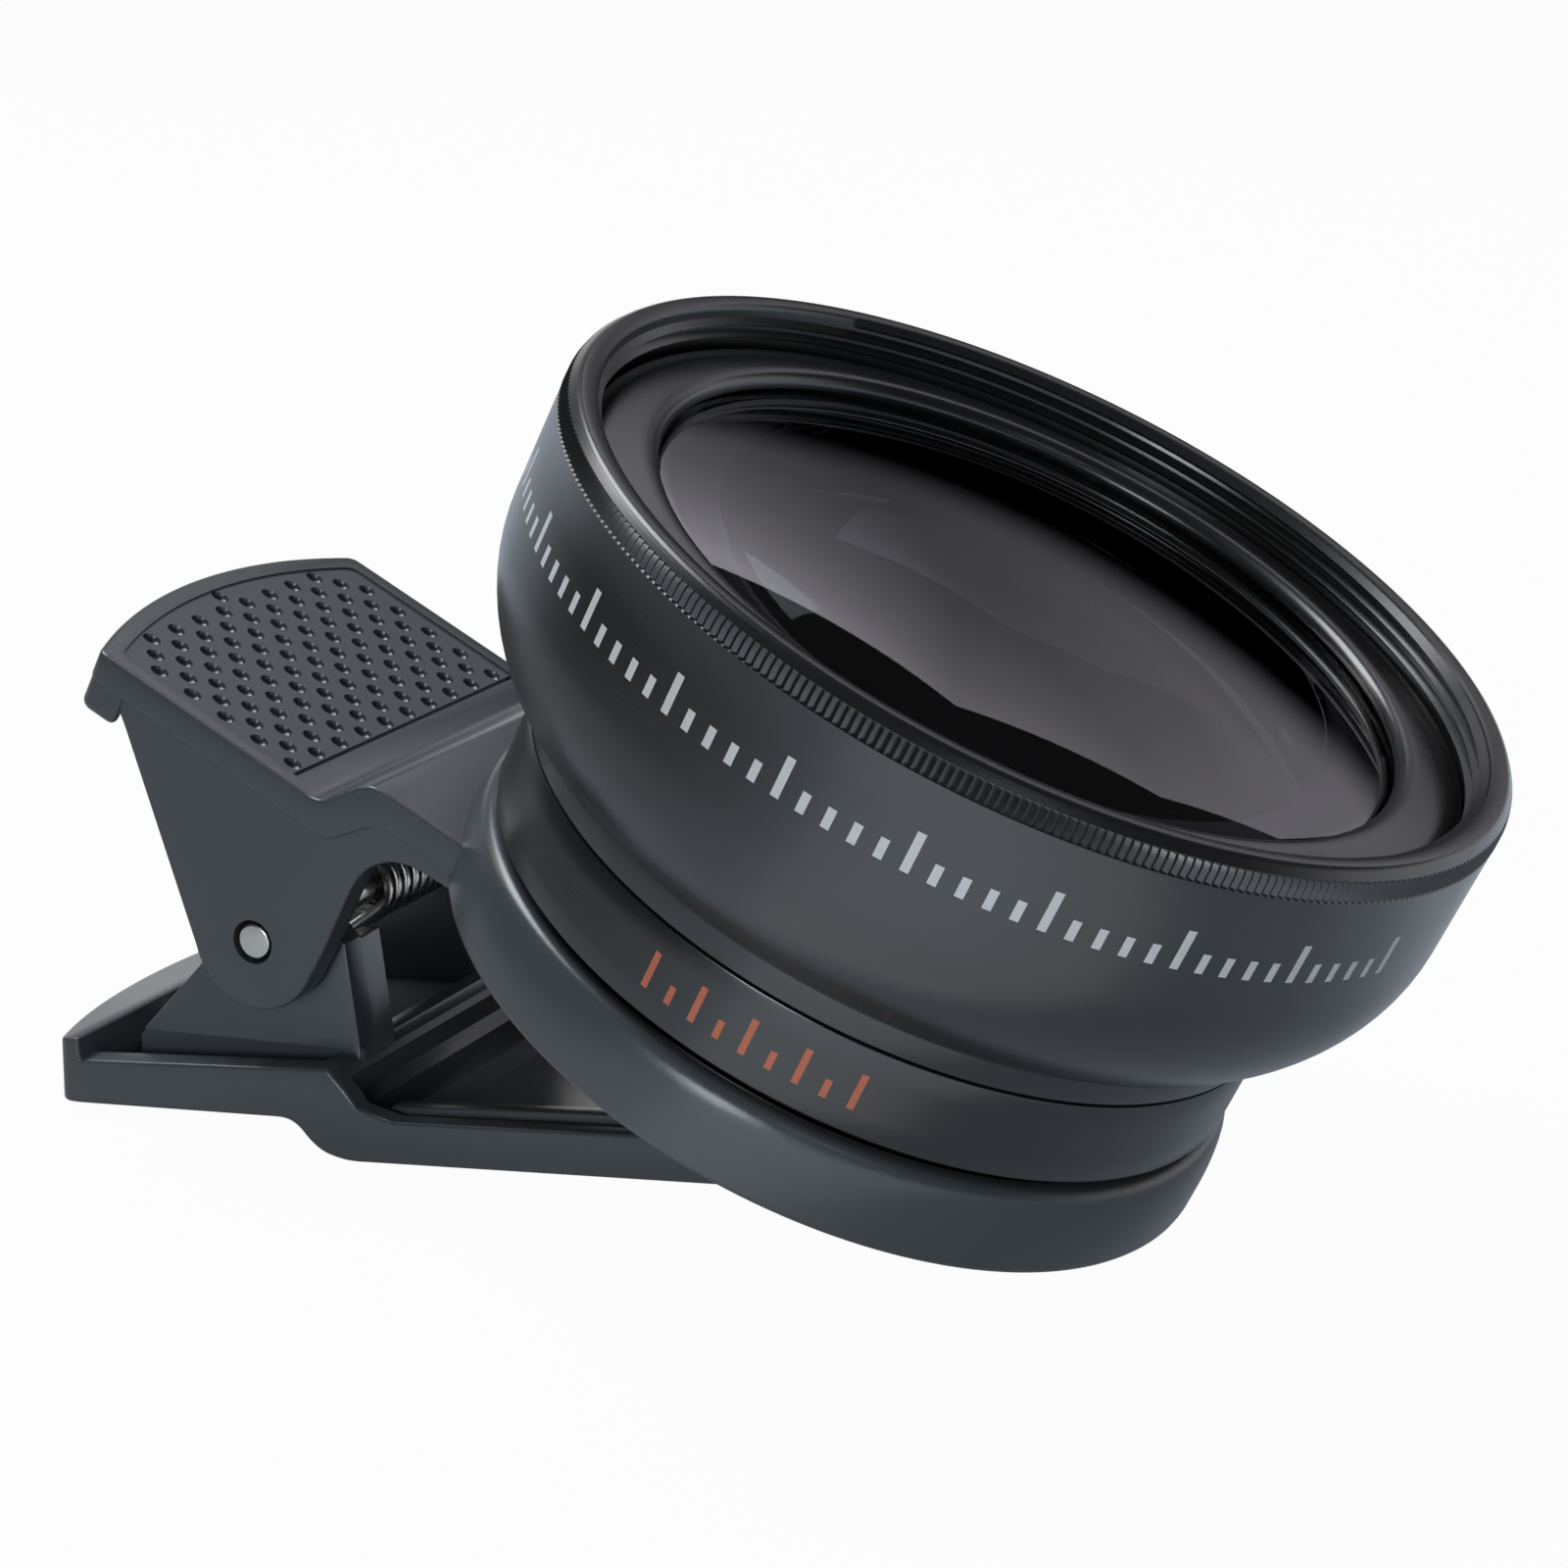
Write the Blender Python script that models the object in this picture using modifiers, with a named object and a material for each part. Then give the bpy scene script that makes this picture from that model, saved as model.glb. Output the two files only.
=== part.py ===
"""Clip on phone lens: a spring clip with a carrier ring, a macro lens and a wide lens.

Two frames are used. The lens frame has its origin at the middle of the carrier ring's
underside, +X forward, +Y to the far side and +Z along the lens axis. The table frame
has the same origin on the table, +X forward and +Z up. The clip lies on a table on its
tray, its heel and the ring's front edge, so the lens frame leans forward by LEAN.
"""

import math

import bmesh
import bpy
from mathutils import Vector

MM = 0.001

# Driving dimensions of the lens frame
LEAN = math.radians(25.15)
RIM_RADIUS = 26.5 * MM
RIM_EDGE_RADIUS = RIM_RADIUS - 0.15 * MM
RIM_EDGE_HEIGHT = 28.2 * MM
NECK_RADIUS = 21.39 * MM
RING_FOOT_RADIUS = NECK_RADIUS + 0.61 * MM
SHOULDER_TOP = 20.5 * MM
SHOULDER_FOOT = 12.0 * MM
GAP = 0.3 * MM

# Bores of the front end follow the rim, those of the rear end follow the neck
RIM_WALL = 1.7 * MM
BEZEL_SEAT_WIDTH = 3.5 * MM
NECK_WALL = 2.79 * MM
FILTER_BORE = RIM_RADIUS - RIM_WALL
FRONT_GLASS_BORE = FILTER_BORE - BEZEL_SEAT_WIDTH
HOLLOW_RADIUS = FRONT_GLASS_BORE - 0.7 * MM

# Threads are plain cylinders here, male ones GAP smaller than female ones
THREAD_BORE = NECK_RADIUS - NECK_WALL
THREAD_CORE = THREAD_BORE - GAP
GLASS_BORE = THREAD_BORE - 2.4 * MM
REAR_GLASS_BORE = GLASS_BORE - 0.8 * MM

# Groove under the carrier ring for the soft cushion
GROOVE_OUTER = RING_FOOT_RADIUS - 1.3 * MM
GROOVE_INNER = THREAD_BORE - 3.2 * MM

# Clip widths, all measured from the middle plane
HALF_WIDTH = 12.7 * MM
WALL_OUTER = 12.4 * MM
WALL_INNER = 10.5 * MM
LUG_OUTER = 10.1 * MM
LUG_CORE = 9.6 * MM
LUG_INNER = 8.4 * MM
LUG_FACE_INNER = 9.0 * MM
FLANGE_INNER = 6.5 * MM
FLANGE_OUTER = 9.8 * MM
TRAY_HOLLOW_HALF = 11.1 * MM
LEDGE_HALF = 11.5 * MM
LEDGE_GROOVE_INNER = 10.9 * MM
DEEP_HOLLOW_HALF = 9.8 * MM
LIP_HALF_WIDTH = 12.6 * MM

# Pivot pin and spring
PIN_X = -27.16 * MM
PIN_Z = -10.28 * MM
PIN_RADIUS = 1.0 * MM
PIN_HOLE_RADIUS = 1.25 * MM
PIN_HALF_LENGTH = 12.3 * MM
BOSS_RADIUS = 3.9 * MM
WIRE_RADIUS = 0.45 * MM
COIL_RADIUS = 1.7 * MM
COIL_NEAR = -1.1 * MM
COIL_FAR = 6.6 * MM
COIL_TURNS = 8

# Thumb pad and tray end in arcs of the same radius
END_ARC_RADIUS = 33.0 * MM
CORNER = 0.8 * MM
PAD_REAR = -44.6 * MM
PAD_UNDERSIDE = -2.2 * MM
LIP_STEP = -3.2 * MM
LIP_DEPTH = -4.1 * MM
LIP_THICKNESS = 2.4 * MM
ARM_FRONT_RADIUS = GROOVE_OUTER + 0.4 * MM
TRAY_REAR = -44.5 * MM

# Jaw tip, a half round plate that ends under the ring
TIP_RADIUS = 12.7 * MM
TIP_CENTRE = 2.6 * MM
TIP_SEAT = -1.35 * MM
JAW_PAD_CENTRE = 5.0 * MM
JAW_PAD_RADIUS = 11.6 * MM
JAW_PAD_THICKNESS = 0.75 * MM

FINE_STEPS = 56
COARSE_STEPS = 36

TABLE_HEIGHT = RING_FOOT_RADIUS * math.sin(LEAN)
FRONT_REACH = RIM_EDGE_RADIUS * math.cos(LEAN) + RIM_EDGE_HEIGHT * math.sin(LEAN)
FRAME_X = -(TRAY_REAR + FRONT_REACH) / 2


def clear_scene():
    for obj in list(bpy.data.objects):
        bpy.data.objects.remove(obj, do_unlink=True)


def new_collection(name):
    collection = bpy.data.collections.new(name)
    bpy.context.scene.collection.children.link(collection)
    return collection


def make_material(name, colour, roughness, metallic=0.0, transmission=0.0):
    material = bpy.data.materials.new(name)
    material.use_nodes = True
    shader = material.node_tree.nodes["Principled BSDF"]
    shader.inputs["Base Color"].default_value = (*colour, 1.0)
    shader.inputs["Roughness"].default_value = roughness
    shader.inputs["Metallic"].default_value = metallic
    shader.inputs["Transmission Weight"].default_value = transmission
    return material


def make_empty(name, parent=None, location=(0.0, 0.0, 0.0), rotation_y=0.0):
    empty = bpy.data.objects.new(name, None)
    empty.empty_display_size = 5 * MM
    empty.location = location
    empty.rotation_euler = (0.0, rotation_y, 0.0)
    empty.parent = parent
    parts.objects.link(empty)
    return empty


def arc(centre_x, centre_y, radius, start, end, count):
    """Points on a circle from the start to the end angle, both in degrees."""
    points = []
    for index in range(count + 1):
        angle = math.radians(start + (end - start) * index / count)
        points.append((centre_x + radius * math.cos(angle), centre_y + radius * math.sin(angle)))
    return points


def lens_to_table(x, z):
    """A point of the lens frame's middle plane, read in the table frame."""
    table_x = x * math.cos(LEAN) + z * math.sin(LEAN)
    table_z = z * math.cos(LEAN) - x * math.sin(LEAN) + TABLE_HEIGHT
    return table_x, table_z


def millimetres(*points):
    return [(x * MM, y * MM) for x, y in points]


def stepped(*rows):
    """A profile whose rows are a named radius, what is added to it and the height, both in millimetres."""
    return [(radius + offset * MM, height * MM) for radius, offset, height in rows]


def dome(radius, edge_height, sag, count):
    """A spherical cap's profile, from the axis out to its edge."""
    points = []
    for index in range(count + 1):
        r = radius * index / count
        points.append((r, edge_height + sag * (1 - (r / radius) ** 2)))
    return points


def turned(name, profile, parent, steps=FINE_STEPS, closed=True):
    """A profile of radius and height pairs, turned about the parent's Z axis."""
    mesh = bpy.data.meshes.new(name)
    vertices = [(r, 0.0, z) for r, z in profile]
    edges = [(i, i + 1) for i in range(len(profile) - 1)]
    if closed:
        edges.append((len(profile) - 1, 0))
    mesh.from_pydata(vertices, edges, [])
    obj = bpy.data.objects.new(name, mesh)
    parts.objects.link(obj)
    obj.parent = parent
    screw = obj.modifiers.new("Turn", "SCREW")
    screw.axis = "Z"
    screw.angle = math.tau
    screw.steps = steps
    screw.render_steps = steps
    screw.use_merge_vertices = True
    screw.merge_threshold = 0.01 * MM
    screw.use_smooth_shade = True
    return obj


def extruded(name, outline, low, high, parent, upright=True):
    """A flat outline made thick. Upright ones lie in XZ and run in Y, others lie in XY."""
    curve = bpy.data.curves.new(name, "CURVE")
    curve.dimensions = "2D"
    curve.fill_mode = "BOTH"
    curve.extrude = (high - low) / 2
    spline = curve.splines.new("POLY")
    spline.points.add(len(outline) - 1)
    for point, (x, y) in zip(spline.points, outline):
        point.co = (x, y, 0.0, 1.0)
    spline.use_cyclic_u = True
    guide = bpy.data.objects.new(name + "_outline", curve)
    parts.objects.link(guide)
    obj = mesh_from_curve(name, guide)
    middle = (low + high) / 2
    obj.location = (0.0, middle, 0.0) if upright else (0.0, 0.0, middle)
    obj.rotation_euler = (math.pi / 2 if upright else 0.0, 0.0, 0.0)
    obj.parent = parent
    return obj


def mesh_from_curve(name, guide):
    """Turn a curve object into a closed mesh object in the same place."""
    bpy.context.view_layer.update()
    evaluated = guide.evaluated_get(bpy.context.evaluated_depsgraph_get())
    mesh = bpy.data.meshes.new_from_object(evaluated)
    mesh.name = name
    work = bmesh.new()
    work.from_mesh(mesh)
    bmesh.ops.remove_doubles(work, verts=work.verts, dist=0.001 * MM)
    bmesh.ops.recalc_face_normals(work, faces=work.faces)
    work.to_mesh(mesh)
    work.free()
    obj = bpy.data.objects.new(name, mesh)
    obj.matrix_world = guide.matrix_world.copy()
    parts.objects.link(obj)
    bpy.data.objects.remove(guide, do_unlink=True)
    return obj


def boolean(target, tool, operation):
    """Add one exact Boolean and put its tool away with the cutters."""
    modifier = target.modifiers.new(tool.name, "BOOLEAN")
    modifier.operation = operation
    modifier.object = tool
    parts.objects.unlink(tool)
    cutters.objects.link(tool)
    tool.hide_render = True
    tool.display_type = "WIRE"
    return target


def finish(obj, material):
    obj.data.materials.clear()
    obj.data.materials.append(material)
    obj.data.shade_smooth()
    obj.data.set_sharp_from_angle(angle=math.radians(30))


def round_bar(name, radius, half_length, parent, location, vertices=24):
    """A cylinder across the clip, along Y."""
    bpy.ops.mesh.primitive_cylinder_add(vertices=vertices, radius=radius, depth=2 * half_length)
    obj = bpy.context.object
    obj.name = name
    for collection in list(obj.users_collection):
        collection.objects.unlink(obj)
    parts.objects.link(obj)
    obj.rotation_euler = (math.pi / 2, 0.0, 0.0)
    obj.location = location
    obj.parent = parent
    return obj


def rear_end(rear, inset=0.0, half_width=HALF_WIDTH):
    """The rear end of the pad or tray with its rounded corners, from the far side to the near side."""
    radius = END_ARC_RADIUS - inset
    reach = half_width - CORNER
    spread = math.degrees(math.asin(reach / radius))
    outline = arc(rear + END_ARC_RADIUS, 0.0, radius, 180 - spread, 180 + spread, 14)
    corner_x = outline[0][0]
    cut = (corner_x + 0.35 * CORNER, half_width - 0.25 * CORNER)
    end = (corner_x + CORNER, half_width)
    return [end, cut] + outline + [(cut[0], -cut[1]), (end[0], -end[1])]


def make_upper_jaw():
    """Thumb pad, side walls, arm and carrier ring: one moulding."""
    outer = RING_FOOT_RADIUS
    ring_profile = stepped(
        (outer, -1.1, 4.8), (outer, -0.6, 4.68), (outer, -0.25, 4.2), (outer, -0.05, 3.5), (outer, 0.1, 2.4),
        (outer, 0.1, 0.25), (outer, 0.0, 0.0), (GROOVE_OUTER, 0.0, 0.0), (GROOVE_OUTER, 0.0, 0.9),
        (GROOVE_INNER, 0.0, 0.9), (GROOVE_INNER, 0.0, 0.0), (GROOVE_INNER, -0.5, 0.0), (GROOVE_INNER, -0.5, 1.7),
        (THREAD_BORE, 0.0, 1.7), (THREAD_BORE, 0.0, 4.0), (NECK_RADIUS, -1.19, 4.0), (NECK_RADIUS, -1.09, 4.5),
    )
    jaw = turned("upper_jaw", ring_profile, lens_frame)

    shell_outline = millimetres(
        (-46, -0.45), (-27.2, -0.45), (-26.6, -0.25), (-24.9, 1.75), (-24.3, 2.25), (-23.7, 2.38),
        (-15, 2.38), (-15, 0.5), (-22.4, 0.5), (-23.3, 0.2), (-25.3, -2.0), (-25.8, -2.2), (-46, -2.2),
    )
    shell = extruded("shell", shell_outline, -15 * MM, 15 * MM, lens_frame)
    boss = arc(PIN_X, PIN_Z, BOSS_RADIUS, 218, 360, 12)
    wall_outline = (
        millimetres((-41.2, -1.4), (-40.6, -2.4), (-39.1, -3.8))
        + boss
        + millimetres((-23.1, -8.0), (-23.1, -3.6), (-22.7, -2.2), (-21.7, -1.1), (-20.3, -0.55))
        + millimetres((-15.5, -0.35), (-15.5, 1.2), (-23.2, 1.2), (-25.4, -1.2))
    )
    for side, name in ((-1, "near_wall"), (1, "far_wall")):
        low, high = sorted((side * WALL_INNER, side * WALL_OUTER))
        wall = extruded(name, wall_outline, low, high, lens_frame)
        boolean(shell, wall, "UNION")
    spread = math.degrees(math.asin(HALF_WIDTH / ARM_FRONT_RADIUS))
    arm_front = arc(0.0, 0.0, ARM_FRONT_RADIUS, 180 + spread, 180 - spread, 12)
    plan = extruded("shell_plan", rear_end(PAD_REAR) + arm_front, -16 * MM, 6 * MM, lens_frame, upright=False)
    boolean(shell, plan, "INTERSECT")
    boolean(jaw, shell, "UNION")

    for name, outer, inner, low, high in (
        ("lip", 0.05 * MM, LIP_THICKNESS, LIP_STEP, PAD_UNDERSIDE + 0.6 * MM),
        ("lip_edge", 0.8 * MM, LIP_THICKNESS + 0.2 * MM, LIP_DEPTH, LIP_STEP + 0.4 * MM),
    ):
        band = rear_end(PAD_REAR, outer, LIP_HALF_WIDTH) + rear_end(PAD_REAR, inner, LIP_HALF_WIDTH)[::-1]
        boolean(jaw, extruded(name, band, low, high, lens_frame, upright=False), "UNION")

    bore = round_bar("upper_pin_hole", PIN_HOLE_RADIUS, 16 * MM, lens_frame, (PIN_X, 0.0, PIN_Z))
    boolean(jaw, bore, "DIFFERENCE")
    finish(jaw, black_plastic)
    return jaw


def make_lower_jaw():
    """Handle tray, lugs, heel and front jaw: one moulding, in the table frame."""
    tip_underside = [
        lens_to_table(x, z) for x, z in millimetres((5.5, -3.7), (8, -2.9), (15, -2.05), (18.4, -1.83))
    ]
    tip_seat = [lens_to_table(x * MM, TIP_SEAT) for x in (18.4, 4.4)]
    envelope = (
        millimetres((-45.5, 0.0), (-41.2, 0.0), (-26.8, 1.8), (-26.1, 1.5), (-25.3, 0.7), (-24.4, 0.2))
        + millimetres((-22.9, 0.0), (-0.4, 3.14))
        + tip_underside
        + tip_seat
        + millimetres((-20, 2.87), (-22.2, 3.2), (-22.9, 4.0), (-24.1, 5.15), (-40.7, 2.65))
        + millimetres((-40.7, 3.95), (-45.5, 3.2))
    )
    jaw = extruded("lower_jaw", envelope, -15 * MM, 15 * MM, table_frame)
    tip = arc(TIP_CENTRE, 0.0, TIP_RADIUS, -90, 90, 20)
    plan = extruded("jaw_plan", rear_end(TRAY_REAR) + tip, -2 * MM, 14 * MM, table_frame, upright=False)
    boolean(jaw, plan, "INTERSECT")

    tray_hollow = millimetres((-40.7, 1.35), (-26.6, 3.05), (-25.2, 3.25), (-25.2, 9), (-40.7, 9))
    ledge_hollow = millimetres((-23.4, 2.2), (-21.4, 2.3), (2.4, 5.9), (2.4, 9), (-23.4, 9))
    groove = millimetres((-22.4, 1.3), (-20.8, 1.3), (1.6, 4.6), (1.6, 9), (-22.4, 9))
    deep_hollow = millimetres((-23.4, 1.05), (-20.8, 1.05), (0.5, 4.05), (0.5, 9), (-23.4, 9))
    for name, outline, low, high in (
        ("tray_hollow", tray_hollow, -TRAY_HOLLOW_HALF, TRAY_HOLLOW_HALF),
        ("ledge_hollow", ledge_hollow, -LEDGE_HALF, LEDGE_HALF),
        ("near_groove", groove, -LEDGE_HALF, -LEDGE_GROOVE_INNER),
        ("far_groove", groove, LEDGE_GROOVE_INNER, LEDGE_HALF),
        ("deep_hollow", deep_hollow, -DEEP_HOLLOW_HALF, DEEP_HOLLOW_HALF),
    ):
        boolean(jaw, extruded(name, outline, low, high, table_frame), "DIFFERENCE")

    pin_x, pin_z = lens_to_table(PIN_X, PIN_Z)
    lug_top = arc(pin_x, pin_z, 3.0 * MM, 180, 50, 10)
    lug_front = millimetres((-24.5, 11.5), (-23.6, 5.5))
    core_outline = (
        millimetres((-38.6, 1.3), (-38.6, 3.6), (-34.2, 8.6)) + lug_top + lug_front
        + millimetres((-23.55, 3.6), (-25.6, 2.9))
    )
    face_outline = millimetres((-38.1, 4.2), (-34.2, 8.6)) + lug_top + lug_front
    flange_outline = lug_front + millimetres((-23.6, 4.4), (-24.9, 4.4), (-25.7, 11.3))
    for side in (-1, 1):
        label = "near" if side < 0 else "far"
        for name, outline, inner, outer in (
            ("lug_core", core_outline, LUG_INNER, LUG_CORE),
            ("lug_face", face_outline, LUG_FACE_INNER, LUG_OUTER),
            ("lug_flange", flange_outline, FLANGE_INNER, FLANGE_OUTER),
        ):
            low, high = sorted((side * inner, side * outer))
            boolean(jaw, extruded(f"{name}_{label}", outline, low, high, table_frame), "UNION")

    rib_outline = millimetres((-24.9, 4.0), (-23.7, 4.0), (-23.7, 6.1), (-24.9, 6.1))
    boolean(jaw, extruded("cross_rib", rib_outline, -9 * MM, 9 * MM, table_frame), "UNION")
    bore = round_bar("lower_pin_hole", PIN_HOLE_RADIUS, 11 * MM, table_frame, (pin_x, 0.0, pin_z))
    boolean(jaw, bore, "DIFFERENCE")
    finish(jaw, black_plastic)
    return jaw


def make_pads():
    """The two soft pads: a half disc on the jaw tip and a ring under the carrier ring."""
    outline = arc(JAW_PAD_CENTRE, 0.0, JAW_PAD_RADIUS, -90, 90, 20)
    bottom = TIP_SEAT + GAP
    pad = extruded("jaw_pad", outline, bottom, bottom + JAW_PAD_THICKNESS, tip_frame, upright=False)
    finish(pad, rubber)
    outer = GROOVE_OUTER - GAP
    inner = GROOVE_INNER + GAP
    profile = stepped((outer, 0.0, 0.6), (outer, 0.0, 0.0), (inner, 0.0, 0.0), (inner, 0.0, 0.6))
    cushion = turned("ring_cushion", profile, lens_frame, steps=COARSE_STEPS)
    finish(cushion, rubber)


def make_pin_and_spring():
    pin_x, pin_z = lens_to_table(PIN_X, PIN_Z)
    pin = round_bar("pivot_pin", PIN_RADIUS, PIN_HALF_LENGTH, table_frame, (pin_x, 0.0, pin_z))
    finish(pin, steel)

    upper_end = Vector(lens_to_table(-38.0 * MM, PAD_UNDERSIDE - WIRE_RADIUS - GAP))
    lower_end = Vector((-38.0 * MM, 2.35 * MM))
    axis = Vector((pin_x, pin_z))
    start = tangent_angle(upper_end - axis, -1)
    stop = tangent_angle(lower_end - axis, 1) - math.tau * COIL_TURNS
    count = round((start - stop) / math.tau * 12)
    points = [(upper_end.x, COIL_FAR, upper_end.y)]
    for index in range(count + 1):
        share = index / count
        angle = start + (stop - start) * share
        x = pin_x + COIL_RADIUS * math.cos(angle)
        z = pin_z + COIL_RADIUS * math.sin(angle)
        points.append((x, COIL_FAR + (COIL_NEAR - COIL_FAR) * share, z))
    points.append((lower_end.x, COIL_NEAR, lower_end.y))

    curve = bpy.data.curves.new("torsion_spring", "CURVE")
    curve.dimensions = "3D"
    curve.bevel_depth = WIRE_RADIUS
    curve.bevel_resolution = 1
    curve.use_fill_caps = True
    spline = curve.splines.new("POLY")
    spline.points.add(len(points) - 1)
    for point, co in zip(spline.points, points):
        point.co = (*co, 1.0)
    guide = bpy.data.objects.new("spring_path", curve)
    parts.objects.link(guide)
    spring = mesh_from_curve("torsion_spring", guide)
    spring.parent = table_frame
    finish(spring, steel)


def tangent_angle(leg, side):
    """Where a straight leg that ends at this place meets the coil, as an angle about the pin."""
    return math.atan2(leg.y, leg.x) + side * math.acos(COIL_RADIUS / leg.length)


def make_macro_lens():
    """Macro barrel with its glass and retaining ring. Its thread turns in the carrier ring."""
    barrel = stepped(
        (NECK_RADIUS, -0.19, 10.28), (NECK_RADIUS, 0.0, 10.1), (NECK_RADIUS, 0.0, 5.6), (NECK_RADIUS, -0.19, 5.42),
        (NECK_RADIUS, -1.49, 5.42), (NECK_RADIUS, -1.49, 4.3), (THREAD_CORE, 0.0, 4.3), (THREAD_CORE, 0.0, 2.0),
        (GLASS_BORE, -0.9, 2.0), (GLASS_BORE, -0.9, 2.7), (GLASS_BORE, 0.0, 2.7), (GLASS_BORE, 0.0, 7.4),
        (THREAD_BORE, 0.0, 7.4), (THREAD_BORE, 0.0, 10.28),
    )
    finish(turned("macro_barrel", barrel, lens_frame), satin_metal)
    radius = GLASS_BORE - GAP
    front = dome(radius, 4.9 * MM, 1.5 * MM, 5)
    back = dome(radius, 3.0 * MM, -1.0 * MM, 4)[::-1]
    finish(turned("macro_glass", front + back, lens_frame, steps=COARSE_STEPS, closed=False), glass)
    keeper = stepped(
        (radius, 0.0, 7.0), (radius, 0.0, 5.5), (radius, -1.6, 5.5), (radius, -1.6, 6.3), (radius, -0.9, 7.0)
    )
    finish(turned("macro_retaining_ring", keeper, lens_frame, steps=COARSE_STEPS), satin_metal)


def make_wide_lens():
    """Wide barrel, bezel, two glasses, spacer and rear retaining ring."""
    shoulder = []
    for index in range(9):
        angle = math.radians(90 * index / 8)
        r = NECK_RADIUS + (RIM_RADIUS - NECK_RADIUS) * math.cos(angle) ** 1.5
        z = SHOULDER_TOP - (SHOULDER_TOP - SHOULDER_FOOT) * math.sin(angle)
        shoulder.append((r, z))
    rim = [(RIM_EDGE_RADIUS, RIM_EDGE_HEIGHT)] + stepped((RIM_RADIUS, 0.0, 27.8), (RIM_RADIUS, 0.0, 27.0))
    neck = stepped((NECK_RADIUS, 0.0, 10.72), (NECK_RADIUS, -0.19, 10.52))
    inside = stepped(
        (THREAD_CORE, 0.0, 10.52), (THREAD_CORE, 0.0, 7.7), (REAR_GLASS_BORE, 0.0, 7.7), (REAR_GLASS_BORE, 0.0, 12.7),
        (REAR_GLASS_BORE, -1.4, 12.7), (REAR_GLASS_BORE, -1.4, 13.6), (GLASS_BORE, 0.0, 13.6),
        (HOLLOW_RADIUS, 0.0, 16.5), (HOLLOW_RADIUS, 0.0, 22.5), (FRONT_GLASS_BORE, 0.0, 22.5),
        (FRONT_GLASS_BORE, 0.0, 25.0), (FILTER_BORE, 0.0, 25.0), (FILTER_BORE, 0.0, 28.4),
    )
    top = stepped((FILTER_BORE, 0.35, 28.7), (RIM_RADIUS, -0.7, 28.7))
    barrel = top + rim + shoulder + neck + inside
    finish(turned("wide_barrel", barrel, lens_frame), satin_metal)

    outer = FILTER_BORE - GAP
    lip = FRONT_GLASS_BORE
    bezel = stepped(
        (outer, -0.2, 26.25), (outer, 0.0, 26.1), (outer, 0.0, 25.3), (lip, 0.2, 25.3), (lip, 0.2, 26.0),
        (lip, -0.6, 26.0), (lip, -0.55, 26.4), (lip, -0.25, 26.85), (lip, 0.2, 27.0), (lip, 0.65, 26.85),
    )
    finish(turned("front_bezel", bezel, lens_frame), satin_metal)

    radius = FRONT_GLASS_BORE - GAP
    front = dome(radius, 25.6 * MM, 2.8 * MM, 6)
    hollow = dome(radius - 4.0 * MM, 22.8 * MM, 3.4 * MM, 5)[::-1]
    profile = front + [(radius, 22.8 * MM)] + hollow
    finish(turned("front_glass", profile, lens_frame, closed=False), glass)

    spacer = stepped(
        (HOLLOW_RADIUS, -0.4, 22.4), (HOLLOW_RADIUS, -0.4, 16.9), (GLASS_BORE, -0.4, 14.0), (GLASS_BORE, -1.6, 14.0),
        (HOLLOW_RADIUS, -1.3, 17.3), (HOLLOW_RADIUS, -1.3, 22.4),
    )
    finish(turned("spacer_tube", spacer, lens_frame, steps=COARSE_STEPS), satin_metal)

    radius = REAR_GLASS_BORE - 0.4 * MM
    rear_front = dome(radius, 12.3 * MM, 1.0 * MM, 4)
    rear_back = dome(radius, 9.3 * MM, -0.8 * MM, 4)[::-1]
    finish(turned("rear_glass", rear_front + rear_back, lens_frame, steps=COARSE_STEPS, closed=False), glass)
    outer = REAR_GLASS_BORE - GAP
    keeper = stepped(
        (outer, 0.0, 8.8), (outer, 0.0, 7.9), (outer, -1.1, 7.9), (outer, -1.7, 8.3), (outer, -1.7, 8.8)
    )
    finish(turned("rear_retaining_ring", keeper, lens_frame, steps=COARSE_STEPS), satin_metal)


clear_scene()
parts = new_collection("clip_on_phone_lens")
cutters = new_collection("cutters")

black_plastic = make_material("black_plastic", (0.02, 0.021, 0.023), 0.42)
satin_metal = make_material("satin_black_metal", (0.016, 0.016, 0.018), 0.34, metallic=0.2)
rubber = make_material("rubber", (0.022, 0.022, 0.023), 0.8)
steel = make_material("steel", (0.62, 0.6, 0.57), 0.25, metallic=1.0)
glass = make_material("coated_glass", (0.75, 0.78, 0.8), 0.02, transmission=1.0)

table_frame = make_empty("table_frame", location=(FRAME_X, 0.0, 0.0))
tip_frame = make_empty("tip_frame", location=(FRAME_X, 0.0, TABLE_HEIGHT), rotation_y=LEAN)
hinge_x, hinge_z = lens_to_table(PIN_X, PIN_Z)
hinge_frame = make_empty("hinge_frame", location=(FRAME_X + hinge_x, 0.0, hinge_z), rotation_y=LEAN)
lens_frame = make_empty("lens_frame", parent=hinge_frame, location=(-PIN_X, 0.0, -PIN_Z))

make_lower_jaw()
make_upper_jaw()
make_pads()
make_pin_and_spring()
make_macro_lens()
make_wide_lens()
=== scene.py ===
# %% [markdown]
# # A clip on phone lens
#
# The object is a spring clip that holds two screwed-together lenses in front of a phone's camera.
# It lies on a table on its lower jaw and on the front of its carrier ring, so the lens leans
# forward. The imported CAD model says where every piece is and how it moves. This lesson gives each
# piece the fine shape and the finish that a plain solid lacks.
#
# Sizes are written in millimetres and multiplied by MM, because Blender works in metres.

import math

import bmesh
import bpy
from mathutils import Matrix, Vector


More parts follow.
